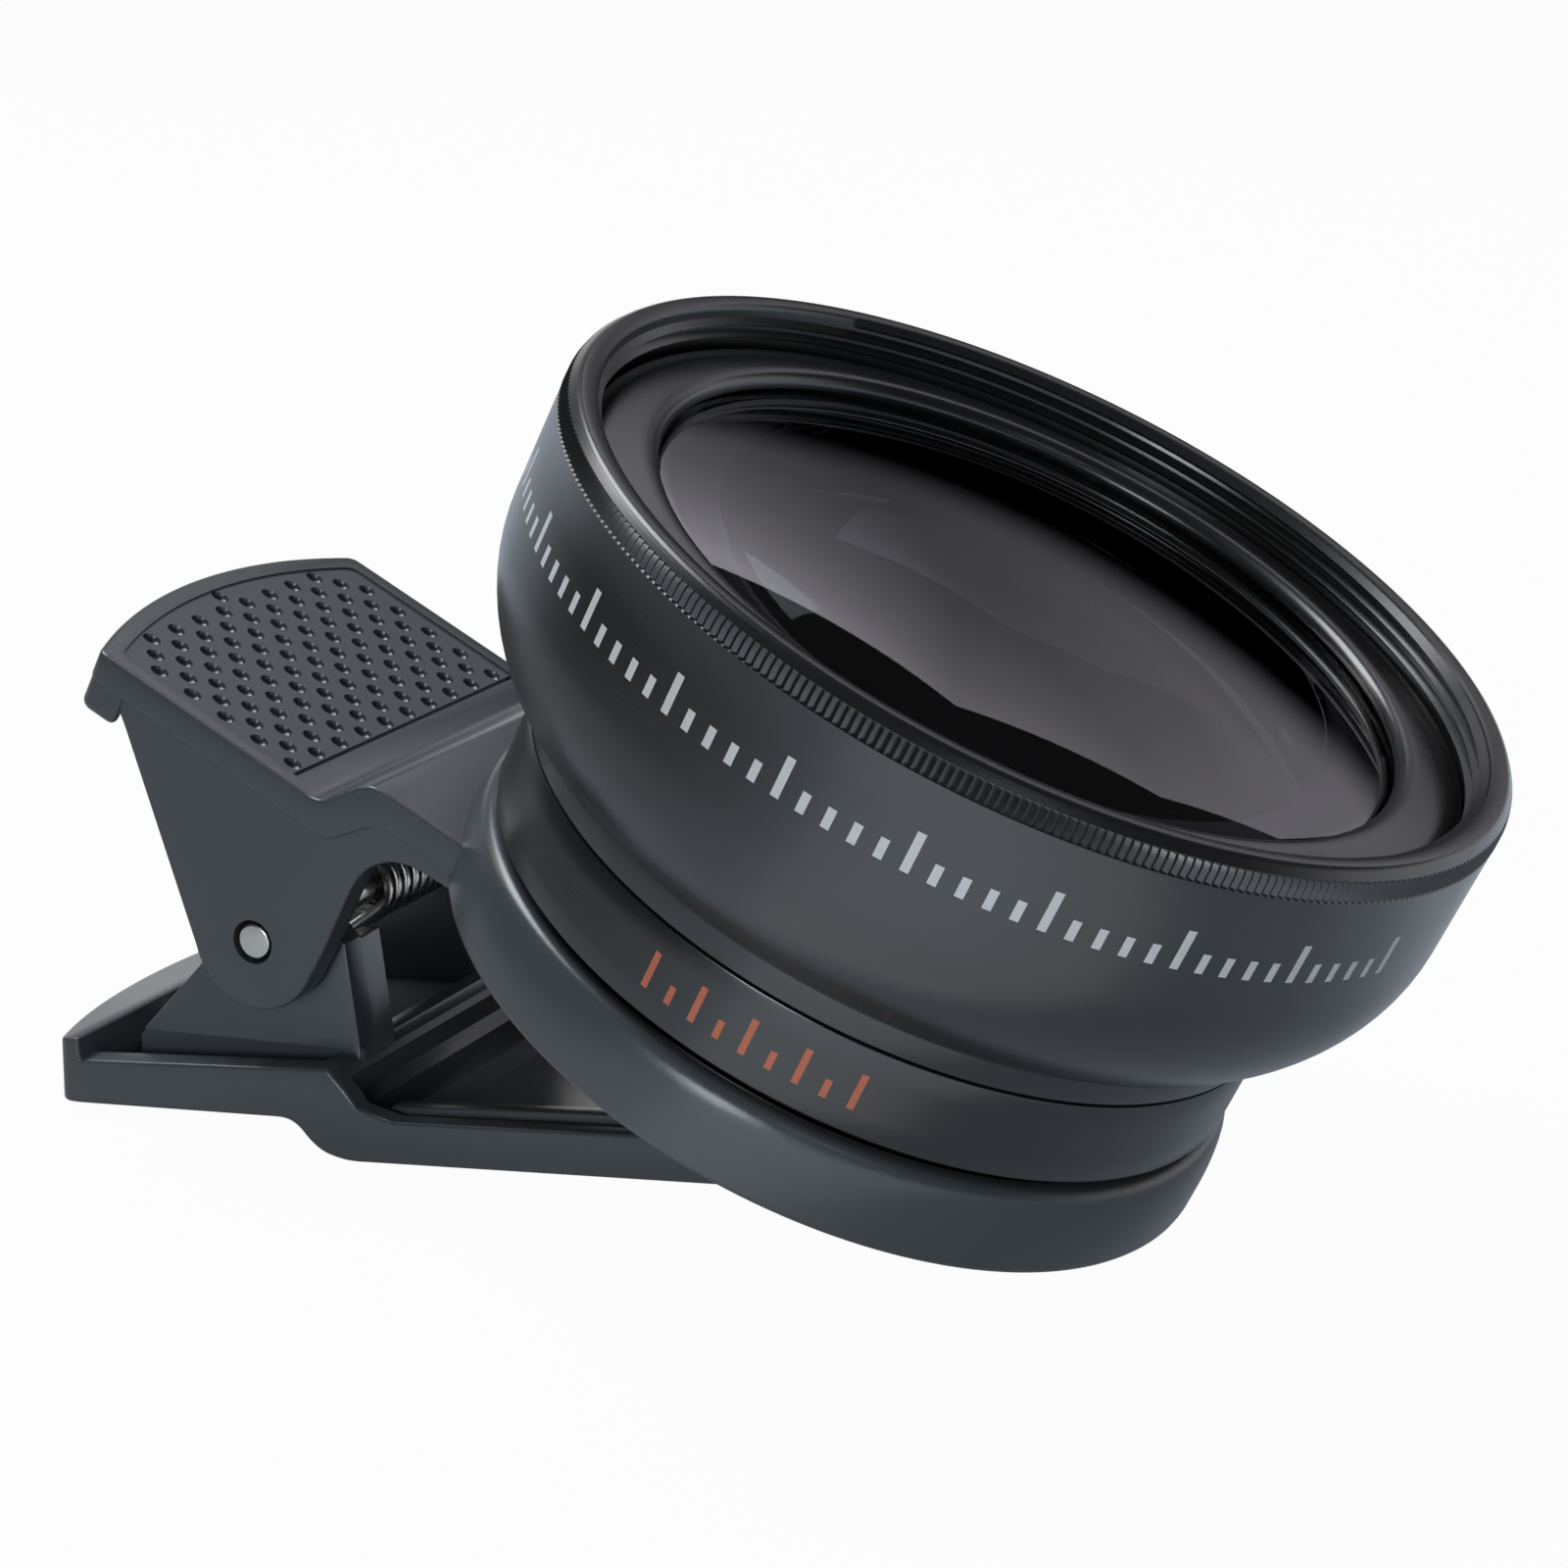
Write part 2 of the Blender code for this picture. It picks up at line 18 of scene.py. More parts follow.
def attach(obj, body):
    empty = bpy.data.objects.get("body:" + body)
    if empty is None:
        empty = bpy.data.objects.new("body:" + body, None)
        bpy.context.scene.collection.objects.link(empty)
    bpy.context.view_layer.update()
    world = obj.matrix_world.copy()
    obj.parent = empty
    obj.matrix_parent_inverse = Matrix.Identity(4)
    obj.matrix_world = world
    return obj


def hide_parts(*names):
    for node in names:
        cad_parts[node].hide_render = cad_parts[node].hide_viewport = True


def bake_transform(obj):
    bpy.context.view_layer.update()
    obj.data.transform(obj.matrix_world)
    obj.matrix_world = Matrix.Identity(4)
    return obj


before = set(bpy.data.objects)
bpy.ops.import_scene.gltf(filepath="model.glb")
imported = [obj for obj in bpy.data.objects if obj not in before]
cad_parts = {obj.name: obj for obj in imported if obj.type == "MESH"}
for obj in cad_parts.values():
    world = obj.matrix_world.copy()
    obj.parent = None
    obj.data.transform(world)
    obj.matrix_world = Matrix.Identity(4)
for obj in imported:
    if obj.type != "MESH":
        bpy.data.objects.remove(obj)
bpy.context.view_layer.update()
MM = 0.001
print("nodes:", sorted(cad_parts))

# %% [markdown]
# ## The lens frame
#
# Everything round turns about the lens axis, which leans 25.15 degrees forward of upright. It is
# much easier to model such pieces upright, about Blender's own Z axis, and to lean them once they
# are finished. One matrix does that: it turns about Y and moves to the middle of the carrier
# ring's foot. The foot's front edge touches the table, which gives its height.

# %% The leaning frame of the lens
LEAN = math.radians(25.15)
RIM_RADIUS = 26.5
NECK_RADIUS = 21.39
RING_FOOT_RADIUS = 22.0
TABLE_HEIGHT = RING_FOOT_RADIUS * math.sin(LEAN)
TRAY_REAR = -44.5
FRONT_REACH = (RIM_RADIUS - 0.15) * math.cos(LEAN) + 28.2 * math.sin(LEAN)
FRAME_X = -(TRAY_REAR + FRONT_REACH) / 2

RING_CENTRE = Vector((FRAME_X, 0.0, TABLE_HEIGHT)) * MM
TO_LENS_PLACE = Matrix.Translation(RING_CENTRE) @ Matrix.Rotation(LEAN, 4, "Y")
TO_TABLE_PLACE = Matrix.Translation((FRAME_X * MM, 0.0, 0.0))
LENS_AXIS = TO_LENS_PLACE.to_3x3() @ Vector((0.0, 0.0, 1.0))
print("lens axis:", tuple(round(part, 4) for part in LENS_AXIS))


def lens_to_table(x, z):
    """A point of the lens frame's middle plane in the table frame, in millimetres."""
    table_x = x * math.cos(LEAN) + z * math.sin(LEAN)
    table_z = z * math.cos(LEAN) - x * math.sin(LEAN) + TABLE_HEIGHT
    return table_x, table_z

# %% [markdown]
# ## Camera
#
# A photograph's viewpoint can be worked out from the circles on the lens, because each shows as
# an ellipse. Here that gave a long lens, slightly above the object and to its near side. The
# camera is described by where it stands and by the three directions right, up and back.

# %% Camera
camera_data = bpy.data.cameras.new("camera")
camera = bpy.data.objects.new("camera", camera_data)
bpy.context.scene.collection.objects.link(camera)
bpy.context.scene.camera = camera
camera_data.lens = 90.0
camera_data.sensor_width = 36.0
camera_data.clip_start = 0.01
camera_data.clip_end = 10.0

right = Vector((0.89369, 0.44846, 0.01458)).normalized()
back = Vector((0.42553, -0.85738, 0.28953)).normalized()
up = back.cross(right).normalized()
right = up.cross(back)
place = RING_CENTRE + Vector((86.587, -180.356, 72.746)) * MM
camera.matrix_world = Matrix((
    (right.x, up.x, back.x, place.x),
    (right.y, up.y, back.y, place.y),
    (right.z, up.z, back.z, place.z),
    (0.0, 0.0, 0.0, 1.0),
))
print("camera is", round((place - RING_CENTRE).length / MM), "mm from the lens")

# %% [markdown]
# ## Floor, backdrop and light
#
# The photograph is cut out on plain white. Here a pale floor and the world give that white: both
# are mixed with plain white for the rays that come from the camera. Rays that were mirrored, or
# that went through glass, see that white too. On the floor they see less of it, and a little
# bluer, and that is painted light: four regions paint a pool of light in front of the object,
# brighter ground to the right and far behind, and painted shade close to the object. In the world
# they see white only low down behind the object, where a studio has its backdrop. So the barrels'
# left and right edges turn bright while their front stays dark, as in the photograph.

# %% Helpers for shader nodes


def new_material(name, slot=""):
    """A material with a Principled shader, and short names for its nodes, links and shader."""
    material = bpy.data.materials.new(name)
    material["slot"] = slot
    material.use_nodes = True
    nodes = material.node_tree.nodes
    return material, nodes, material.node_tree.links, nodes["Principled BSDF"]


def add_math(nodes, links, operation, first, second, clamp=True):
    """A Math node between two sockets or numbers."""
    node = nodes.new("ShaderNodeMath")
    node.operation = operation
    node.use_clamp = clamp
    for place, value in enumerate((first, second)):
        if isinstance(value, (int, float)):
            node.inputs[place].default_value = value
        else:
            links.new(value, node.inputs[place])
    return node.outputs[0]


def fade(nodes, links, value, dark, bright):
    """From 0 to 1 while a value goes from the dark limit to the bright one."""
    spread = nodes.new("ShaderNodeMapRange")
    spread.interpolation_type = "SMOOTHSTEP"
    spread.inputs["From Min"].default_value = dark
    spread.inputs["From Max"].default_value = bright
    links.new(value, spread.inputs["Value"])
    return spread.outputs["Result"]


def object_place(nodes):
    return nodes.new("ShaderNodeTexCoord").outputs["Object"]


def split(nodes, links, vector):
    """The X, Y and Z of a vector."""
    node = nodes.new("ShaderNodeSeparateXYZ")
    links.new(vector, node.inputs[0])
    return node.outputs


def mix_tones(nodes, links, factor, first, second, target):
    """Send a colour between two tones to a socket."""
    tone = nodes.new("ShaderNodeMix")
    tone.data_type = "RGBA"
    tone.inputs["A"].default_value = (*first, 1.0)
    tone.inputs["B"].default_value = (*second, 1.0)
    links.new(factor, tone.inputs["Factor"])
    links.new(tone.outputs["Result"], target)


def mix_white(nodes, links, plain, white, camera_share, mirrored_share, output):
    """Mix a white shader in, with one share for the camera's rays and one for mirrored rays."""
    rays = nodes.new("ShaderNodeLightPath").outputs
    mirrored = add_math(nodes, links, "ADD", rays["Is Glossy Ray"], rays["Is Transmission Ray"])
    share = add_math(
        nodes, links, "ADD",
        add_math(nodes, links, "MULTIPLY", rays["Is Camera Ray"], camera_share),
        add_math(nodes, links, "MULTIPLY", mirrored, mirrored_share),
    )
    mix = nodes.new("ShaderNodeMixShader")
    for place, socket in enumerate((share, plain.outputs[0], white.outputs[0])):
        links.new(socket, mix.inputs[place])
    links.new(mix.outputs[0], nodes[output].inputs["Surface"])

# %% Floor
WHITE = (1.0, 1.0, 1.0)
FLOOR_GAP = 0.0002
CAMERA_SHARE = 0.97
AROUND_SHARE, PAINTED_POOL_SHARE, BEHIND_SHARE, RIGHT_SHARE = 0.33, 0.5, 0.6, 0.35

bpy.ops.mesh.primitive_plane_add(size=6.0, location=(0.0, 0.0, -FLOOR_GAP))
floor = bpy.context.object
floor.name = "floor"

floor_white, nodes, links, shader = new_material("floor_white")
shader.inputs["Base Color"].default_value = (0.5, 0.51, 0.53, 1.0)
shader.inputs["Roughness"].default_value = 0.9
shader.inputs["Specular IOR Level"].default_value = 0.0
glow = nodes.new("ShaderNodeEmission")
camera_ray = nodes.new("ShaderNodeLightPath").outputs["Is Camera Ray"]
# For mirrored rays the floor's glow is bluer: a painted tint that stands in for bluish light from
# the right.
mix_tones(nodes, links, camera_ray, (0.84, 0.97, 1.12), WHITE, glow.inputs["Color"])

# The four regions are painted light, seen only in reflections: brighter ground to the right and far
# behind, a painted pool of light in front, and painted shade close to the object, where its shadow
# falls.
place = split(nodes, links, object_place(nodes))
x, y = place["X"], place["Y"]
regions = (
    (AROUND_SHARE, (x, -0.15, 0.05)),
    (PAINTED_POOL_SHARE, (x, -0.07, 0.03), (y, -0.02, -0.07)),
    (RIGHT_SHARE, (x, 0.03, 0.09), (y, -0.03, 0.03)),
    (BEHIND_SHARE, (y, 0.03, 0.09)),
)
seen = 0.0
for amount, *fades in regions:
    region, *others = [fade(nodes, links, *limits) for limits in fades]
    for other in others + [amount]:
        region = add_math(nodes, links, "MULTIPLY", region, other)
    seen = add_math(nodes, links, "ADD", seen, region)
mix_white(nodes, links, shader, glow, CAMERA_SHARE, seen, "Material Output")
floor.data.materials.append(floor_white)

# %% World
world = bpy.data.worlds.new("studio")
bpy.context.scene.world = world
world.use_nodes = True
nodes, links = world.node_tree.nodes, world.node_tree.links
surround = nodes["Background"]
surround.inputs["Color"].default_value = (0.95, 0.97, 1.0, 1.0)
surround.inputs["Strength"].default_value = 0.055
white_seen = nodes.new("ShaderNodeBackground")
white_seen.inputs["Color"].default_value = (*WHITE, 1.0)

direction = split(nodes, links, nodes.new("ShaderNodeTexCoord").outputs["Generated"])
behind = fade(nodes, links, direction["Y"], 0.08, 0.55)
low_down = fade(nodes, links, direction["Z"], 0.42, 0.25)
backdrop = add_math(nodes, links, "MULTIPLY", behind, low_down)
mix_white(nodes, links, surround, white_seen, 1.0, backdrop, "World Output")

bpy.context.scene.view_settings.view_transform = "Standard"
print("floor and world are white for the camera")

# %% [markdown]
# The highlights on the real object tell where its lights stood. A wide soft box in front lights
# the near walls, and a small one on the right the front jaw. A large one high up behind the left
# lights the thumb pad. It stands so far round that it hardly shines into the lens. A warm one
# below it gives the glint on the left edges. A small lamp flat on the table, facing up, stands
# for the bright table under the lens: it gives every round wall its soft bump of light from below.
#
# The grey sheet on the domed glass is the mirror image of a tall panel behind. Where the glass
# stays black, it looks past the panel, so the panel's outline follows from the photograph: a flat
# top, a straight right side and a cut corner between them. It is brightest along these edges, so
# the glow follows the distance from the nearest of the three. It also falls a little towards the
# right, and it ends softly along a sloping lower edge.

# %% Lamps
AIM = Vector((0.0, 0.0, 0.02))
CARD_PLACE = (0.0275, -0.066, 0.0005)


def toward(azimuth, elevation):
    """A unit vector: azimuth counted from +X towards +Y, elevation from the table."""
    a, e = math.radians(azimuth), math.radians(elevation)
    return Vector((math.cos(e) * math.cos(a), math.cos(e) * math.sin(a), math.sin(e)))


def add_softbox(name, direction, distance, size, power, colour=WHITE):
    """An area lamp that stands in a direction from the object and faces it."""
    data = bpy.data.lights.new(name, "AREA")
    data.shape = "RECTANGLE"
    data.size, data.size_y = size
    data.energy = power
    data.color = colour
    lamp = bpy.data.objects.new(name, data)
    bpy.context.scene.collection.objects.link(lamp)
    lamp.location = AIM + direction * distance
    lamp.rotation_euler = direction.to_track_quat("Z", "Y").to_euler()
    lamp.visible_camera = False
    return lamp


COOL, WARM = (0.9, 0.96, 1.0), (1.0, 0.86, 0.74)
add_softbox("front_softbox", toward(-85, 10), 0.7, (0.25, 0.2), 1.45, COOL)
add_softbox("right_softbox", toward(-42, 30), 0.7, (0.2, 0.2), 0.12, COOL)
add_softbox("top_softbox", toward(160, 64), 0.6, (0.3, 0.3), 2.4, COOL)
add_softbox("left_softbox", toward(172, 42), 0.6, (0.12, 0.2), 0.16, WARM)
card = add_softbox("table_card", toward(0, 90), 0.0, (0.065, 0.078), 0.0058)
card.location = CARD_PLACE
card.rotation_euler = (math.pi, 0.0, 0.0)

# %% Back panel
PANEL_Y, PANEL_LOW, PANEL_TOP = 0.6, 0.1, 0.765
PANEL_LEFT, PANEL_RIGHT = -0.3, 0.275
CUT_X, CUT_Z = 0.161, 0.765
CUT_NORMAL_X, CUT_NORMAL_Z = 0.882, 0.472
FALL_INWARDS, FALL_SIDEWAYS = -6.5, -2.2
GLOW_LEVEL, GLOW_LIMIT = 0.9, 2.7
LOWER_SLOPE, LOWER_DARK, LOWER_BRIGHT = 0.4, 0.2, 0.32
bpy.ops.mesh.primitive_plane_add(size=1.0, rotation=(math.pi / 2, 0.0, 0.0))
panel = bpy.context.object
panel.name = "back_panel"
panel.location = ((PANEL_LEFT + PANEL_RIGHT) / 2, PANEL_Y, (PANEL_LOW + PANEL_TOP) / 2)
panel.scale = (PANEL_RIGHT - PANEL_LEFT, PANEL_TOP - PANEL_LOW, 1.0)
bpy.ops.object.transform_apply()
bpy.ops.object.mode_set(mode="EDIT")
bpy.ops.mesh.select_all(action="SELECT")
bpy.ops.mesh.bisect(
    plane_co=(CUT_X, PANEL_Y, CUT_Z), plane_no=(CUT_NORMAL_X, 0.0, CUT_NORMAL_Z),
    clear_outer=True,
)
bpy.ops.object.mode_set(mode="OBJECT")
panel.visible_camera = False

panel_glow, nodes, links, shader = new_material("panel_glow")
glow = nodes.new("ShaderNodeEmission")
glow.inputs["Color"].default_value = (0.93, 0.9, 1.0, 1.0)
place = split(nodes, links, object_place(nodes))
x, z = place["X"], place["Z"]


def calculate(operation, first, second):
    """A Math node in the panel's material. Its result may lie outside 0 to 1."""
    return add_math(nodes, links, operation, first, second, clamp=False)


cut_reach = CUT_X * CUT_NORMAL_X + CUT_Z * CUT_NORMAL_Z
across = calculate("MULTIPLY", x, CUT_NORMAL_X)
along = calculate("MULTIPLY", z, CUT_NORMAL_Z)
to_cut = calculate("SUBTRACT", cut_reach, calculate("ADD", across, along))
to_top = calculate("SUBTRACT", PANEL_TOP, z)
to_right = calculate("SUBTRACT", PANEL_RIGHT, x)
depth = calculate("MINIMUM", to_cut, calculate("MINIMUM", to_top, to_right))
inwards = calculate("MULTIPLY", depth, FALL_INWARDS)
fall = calculate("ADD", inwards, calculate("MULTIPLY", x, FALL_SIDEWAYS))
level = calculate("POWER", math.e, calculate("ADD", fall, GLOW_LEVEL))
slope = calculate("ADD", z, calculate("MULTIPLY", x, LOWER_SLOPE))
lower_edge = fade(nodes, links, slope, LOWER_DARK, LOWER_BRIGHT)
level = calculate("MULTIPLY", level, lower_edge)
links.new(calculate("MINIMUM", level, GLOW_LIMIT), glow.inputs["Strength"])
links.new(glow.outputs[0], nodes["Material Output"].inputs["Surface"])
panel.data.materials.append(panel_glow)

# %% [markdown]
# ## Finishes
#
# Nothing here is truly black. Moulded black plastic has a very fine grain that spreads the gloss,
# with small changes of gloss from handling. Anodised aluminium carries the lathe's fine rings.
# A Mapping node turns the object's coordinates back to the upright lens frame, so that those rings
# run round the lens axis.

# %% Helpers for materials
NOISE_LOW, NOISE_HIGH = 0.3, 0.7
GRAIN_DETAIL = 4.0


def lens_place(nodes, links):
    """The place turned back upright, with the lens axis as Z."""
    mapping = nodes.new("ShaderNodeMapping")
    mapping.vector_type = "TEXTURE"
    mapping.inputs["Location"].default_value = RING_CENTRE
    mapping.inputs["Rotation"].default_value = (0.0, LEAN, 0.0)
    links.new(object_place(nodes), mapping.inputs["Vector"])
    return mapping.outputs["Vector"]


def add_noise(nodes, links, vector, scale, detail):
    """A noise over a vector."""
    noise = nodes.new("ShaderNodeTexNoise")
    noise.inputs["Scale"].default_value = scale
    noise.inputs["Detail"].default_value = detail
    links.new(vector, noise.inputs["Vector"])
    return noise.outputs["Fac"]


def add_grain(nodes, links, shader, vector, scale, strength, distance):
    """A fine noise, which also bumps the shader's normal."""
    grain = add_noise(nodes, links, vector, scale, GRAIN_DETAIL)
    bump = nodes.new("ShaderNodeBump")
    bump.inputs["Strength"].default_value = strength
    bump.inputs["Distance"].default_value = distance
    links.new(grain, bump.inputs["Height"])
    links.new(bump.outputs["Normal"], shader.inputs["Normal"])
    return grain


def vary(nodes, links, noise, low, high, target):
    """Send a noise to a socket, spread between low and high."""
    spread = nodes.new("ShaderNodeMapRange")
    spread.inputs["From Min"].default_value = NOISE_LOW
    spread.inputs["From Max"].default_value = NOISE_HIGH
    spread.inputs["To Min"].default_value = low
    spread.inputs["To Max"].default_value = high
    links.new(noise, spread.inputs["Value"])
    links.new(spread.outputs["Result"], target)

# %% Moulded plastic
clip_plastic, nodes, links, shader = new_material("moulded_plastic", "clip_plastic")
vector = object_place(nodes)
add_grain(nodes, links, shader, vector, 2600.0, 0.2, 0.00005)
handling = add_noise(nodes, links, vector, 110.0, 3.0)
vary(nodes, links, handling, 0.27, 0.33, shader.inputs["Roughness"])
shader.inputs["IOR"].default_value = 1.6
dark, light = (0.063, 0.071, 0.079), (0.071, 0.08, 0.089)
mix_tones(nodes, links, handling, dark, light, shader.inputs["Base Color"])
print("plastic ready")

# %% Anodised aluminium
anodised_black, nodes, links, shader = new_material("lathed_aluminium", "anodised_black")
vector = lens_place(nodes, links)
place = split(nodes, links, vector)
flat = nodes.new("ShaderNodeCombineXYZ")
links.new(place["X"], flat.inputs["X"])
links.new(place["Y"], flat.inputs["Y"])
radius = nodes.new("ShaderNodeVectorMath")
radius.operation = "LENGTH"
links.new(flat.outputs[0], radius.inputs[0])
ring_place = nodes.new("ShaderNodeCombineXYZ")
links.new(radius.outputs["Value"], ring_place.inputs["X"])
links.new(place["Z"], ring_place.inputs["Z"])
rings = add_grain(nodes, links, shader, ring_place.outputs[0], 9000.0, 0.18, 0.00003)
patches = add_noise(nodes, links, vector, 90.0, 2.0)
vary(nodes, links, patches, 0.24, 0.31, shader.inputs["Roughness"])
shader.inputs["IOR"].default_value = 1.7
dark, light = (0.0095, 0.0092, 0.0096), (0.014, 0.0136, 0.0142)
mix_tones(nodes, links, rings, dark, light, shader.inputs["Base Color"])
print("anodised metal ready")

# %% Steel, rubber and glass
bright_steel, nodes, links, shader = new_material("drawn_steel", "bright_steel")
shader.inputs["Metallic"].default_value = 1.0
shader.inputs["Base Color"].default_value = (0.66, 0.64, 0.6, 1.0)
grain = add_grain(nodes, links, shader, object_place(nodes), 1800.0, 0.12, 0.00003)
vary(nodes, links, grain, 0.2, 0.34, shader.inputs["Roughness"])

soft_rubber, nodes, links, shader = new_material("matt_rubber", "soft_rubber")
shader.inputs["Specular IOR Level"].default_value = 0.35
grain = add_grain(nodes, links, shader, object_place(nodes), 1500.0, 0.35, 0.0001)
vary(nodes, links, grain, 0.7, 0.88, shader.inputs["Roughness"])
dark, light = (0.018, 0.018, 0.019), (0.03, 0.03, 0.031)
mix_tones(nodes, links, grain, dark, light, shader.inputs["Base Color"])

optical_glass, nodes, links, shader = new_material("shade_tinted_glass", "optical_glass")
# The dark base colour is painted shade: it darkens what is seen through the glass, in place of the
# shade inside the lens.
shader.inputs["Base Color"].default_value = (0.1, 0.1, 0.115, 1.0)
shader.inputs["Roughness"].default_value = 0.015
shader.inputs["Transmission Weight"].default_value = 1.0
shader.inputs["IOR"].default_value = 1.52
print("steel, rubber and glass ready")

# %% [markdown]
# ## Turning a piece on a lathe
#
# Barrels, rings and glasses are turned pieces. A lathe shape can be spun from a half outline, but
# growing it ring by ring is just as quick and shows what happens: start with a circle, extrude its
# edge along the axis and resize it to the next radius, and go on round the outline. A closed
# outline ends with a bridge between its last and first ring. A glass has poles instead, so its
# two smallest rings are merged to one point each.
#
# Each piece is modelled upright and then leaned by the matrix of the lens frame. That matrix goes
# into the mesh, so the finished object stays at the origin, unturned.

# %% Helpers for turned pieces
MERGE_DISTANCE, TOLERANCE = 0.0005, 0.02


def start_alone():
    """Leave edit mode and deselect everything, so that an operator acts on the new piece alone."""
    if bpy.context.object and bpy.context.object.mode != "OBJECT":
        bpy.ops.object.mode_set(mode="OBJECT")
    bpy.ops.object.select_all(action="DESELECT")


def select_only(piece):
    start_alone()
    piece.select_set(True)
    bpy.context.view_layer.objects.active = piece


def select_where(piece, kind, wanted):
    """In edit mode, select the vertices, edges or faces that a test picks. Gives their number."""
    bpy.ops.mesh.select_mode(type=kind)
    bpy.ops.mesh.select_all(action="DESELECT")
    shape = bmesh.from_edit_mesh(piece.data)
    elements = {"VERT": shape.verts, "EDGE": shape.edges, "FACE": shape.faces}[kind]
    for element in elements:
        element.select = wanted(element)
    if kind == "VERT":
        shape.select_flush(True)
    chosen = sum(element.select for element in elements)
    bmesh.update_edit_mesh(piece.data)
    return chosen


def select_boundary(piece):
    """In edit mode, select the open edges."""
    select_where(piece, "EDGE", lambda edge: edge.is_boundary)


def close_up(piece):
    """Merge doubles, turn every face outwards and leave edit mode."""
    bpy.ops.mesh.select_all(action="SELECT")
    bpy.ops.mesh.remove_doubles(threshold=MERGE_DISTANCE * MM)
    bpy.ops.mesh.normals_make_consistent(inside=False)
    bpy.ops.object.mode_set(mode="OBJECT")


def turn(name, outline, segments=192, poles=False):
    """Grow a round piece ring by ring along an outline of radii and heights in millimetres."""
    start_alone()
    (first_radius, first_height), rest = outline[0], outline[1:]
    bpy.ops.mesh.primitive_circle_add(
        vertices=segments, radius=first_radius * MM, location=(0.0, 0.0, first_height * MM)
    )
    piece = bpy.context.object
    piece.name = name
    bpy.ops.object.transform_apply()
    bpy.ops.object.mode_set(mode="EDIT")
    bpy.ops.mesh.select_mode(type="VERT")
    bpy.ops.mesh.select_all(action="SELECT")
    radius, height = first_radius, first_height
    for next_radius, next_height in rest:
        climb = (0.0, 0.0, (next_height - height) * MM)
        bpy.ops.mesh.extrude_region_move(TRANSFORM_OT_translate={"value": climb})
        share = next_radius / radius
        bpy.ops.transform.resize(value=(share, share, 1.0), center_override=(0.0, 0.0, 0.0))
        radius, height = next_radius, next_height
    if poles:
        bpy.ops.mesh.merge(type="COLLAPSE")
        select_boundary(piece)
        bpy.ops.mesh.merge(type="COLLAPSE")
    else:
        select_boundary(piece)
        bpy.ops.mesh.bridge_edge_loops()
    close_up(piece)
    return piece


def put(piece, matrix, finish, body, *stands_for, smooth=30.0):
    """Lean or shift a finished piece, give it its finish and let it ride on its body."""
    piece.data.transform(matrix)
    select_only(piece)
    bpy.ops.object.shade_smooth_by_angle(angle=math.radians(smooth))
    piece.data.materials.clear()
    piece.data.materials.append(finish)
    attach(piece, body)
    if stands_for:
        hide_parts(*stands_for)
    print(piece.name, len(piece.data.polygons), "faces")

# %% [markdown]
# ## The glasses
#
# The front glass is a deep meniscus: a domed front and a hollow back, with a ground edge that the
# bezel hides. Both faces are parts of spheres, so their heights come from the circle's equation.
# A reflection shows every flat facet, so a glass gets many rings. The dark tint in its material is
# painted shade: it darkens all that is seen through the glass, so the lens looks nearly black where
# it mirrors nothing, as the shade inside a real lens makes it look.

# %% Glasses
POLE_RING = 0.05


def sphere_rings(edge_radius, edge_height, sag, count):
    """Rings of a spherical face from near its pole out to its edge. A negative sag is hollow."""
    size = abs(sag)
    sphere = (edge_radius ** 2 + size ** 2) / (2 * size)
    fall = math.copysign(1.0, sag)
    rings = []
    for index in range(count + 1):
        r = max(POLE_RING, edge_radius * index / count)
        depth = math.sqrt(sphere ** 2 - r ** 2) - (sphere - size)
        rings.append((r, edge_height + fall * depth))
    return rings


GLASSES = (
    ("front_glass", "wide_cell", 128, (20.85, 25.65, 2.75, 22),
     [(21.0, 25.55), (21.0, 22.9), (20.9, 22.8)], (17.0, 22.8, 3.4, 16)),
    ("rear_glass", "wide_cell", 96, (14.9, 12.32, 0.98, 10),
     [(15.0, 12.22), (15.0, 9.38)], (14.9, 9.28, -0.78, 10)),
    ("macro_glass", "macro_cell", 96, (15.8, 4.92, 1.48, 12),
     [(15.9, 4.82), (15.9, 3.08)], (15.8, 2.98, -0.98, 12)),
)
for node, body, segments, face, edge, back in GLASSES:
    outline = sphere_rings(*face) + edge + sphere_rings(*back)[::-1]
    glass = turn(node + "_dome", outline, segments=segments, poles=True)
    put(glass, TO_LENS_PLACE, optical_glass, body, node)

# %% [markdown]
# ## Screw threads
#
# The lenses screw into each other, and a filter would screw into the rim. A thread's ridge is a
# small triangle carried round and up by a Screw modifier, one pitch for each turn. The pitch is
# 0.75 mm, which is what the joints of the frame use too. Its two open ends are filled, and the
# ridge is joined to its barrel, sunk a little into the wall.

# %% Threads
THREAD_PITCH, RIDGE_HALF, RIDGE_SUNK = 0.75, 0.42, 0.05


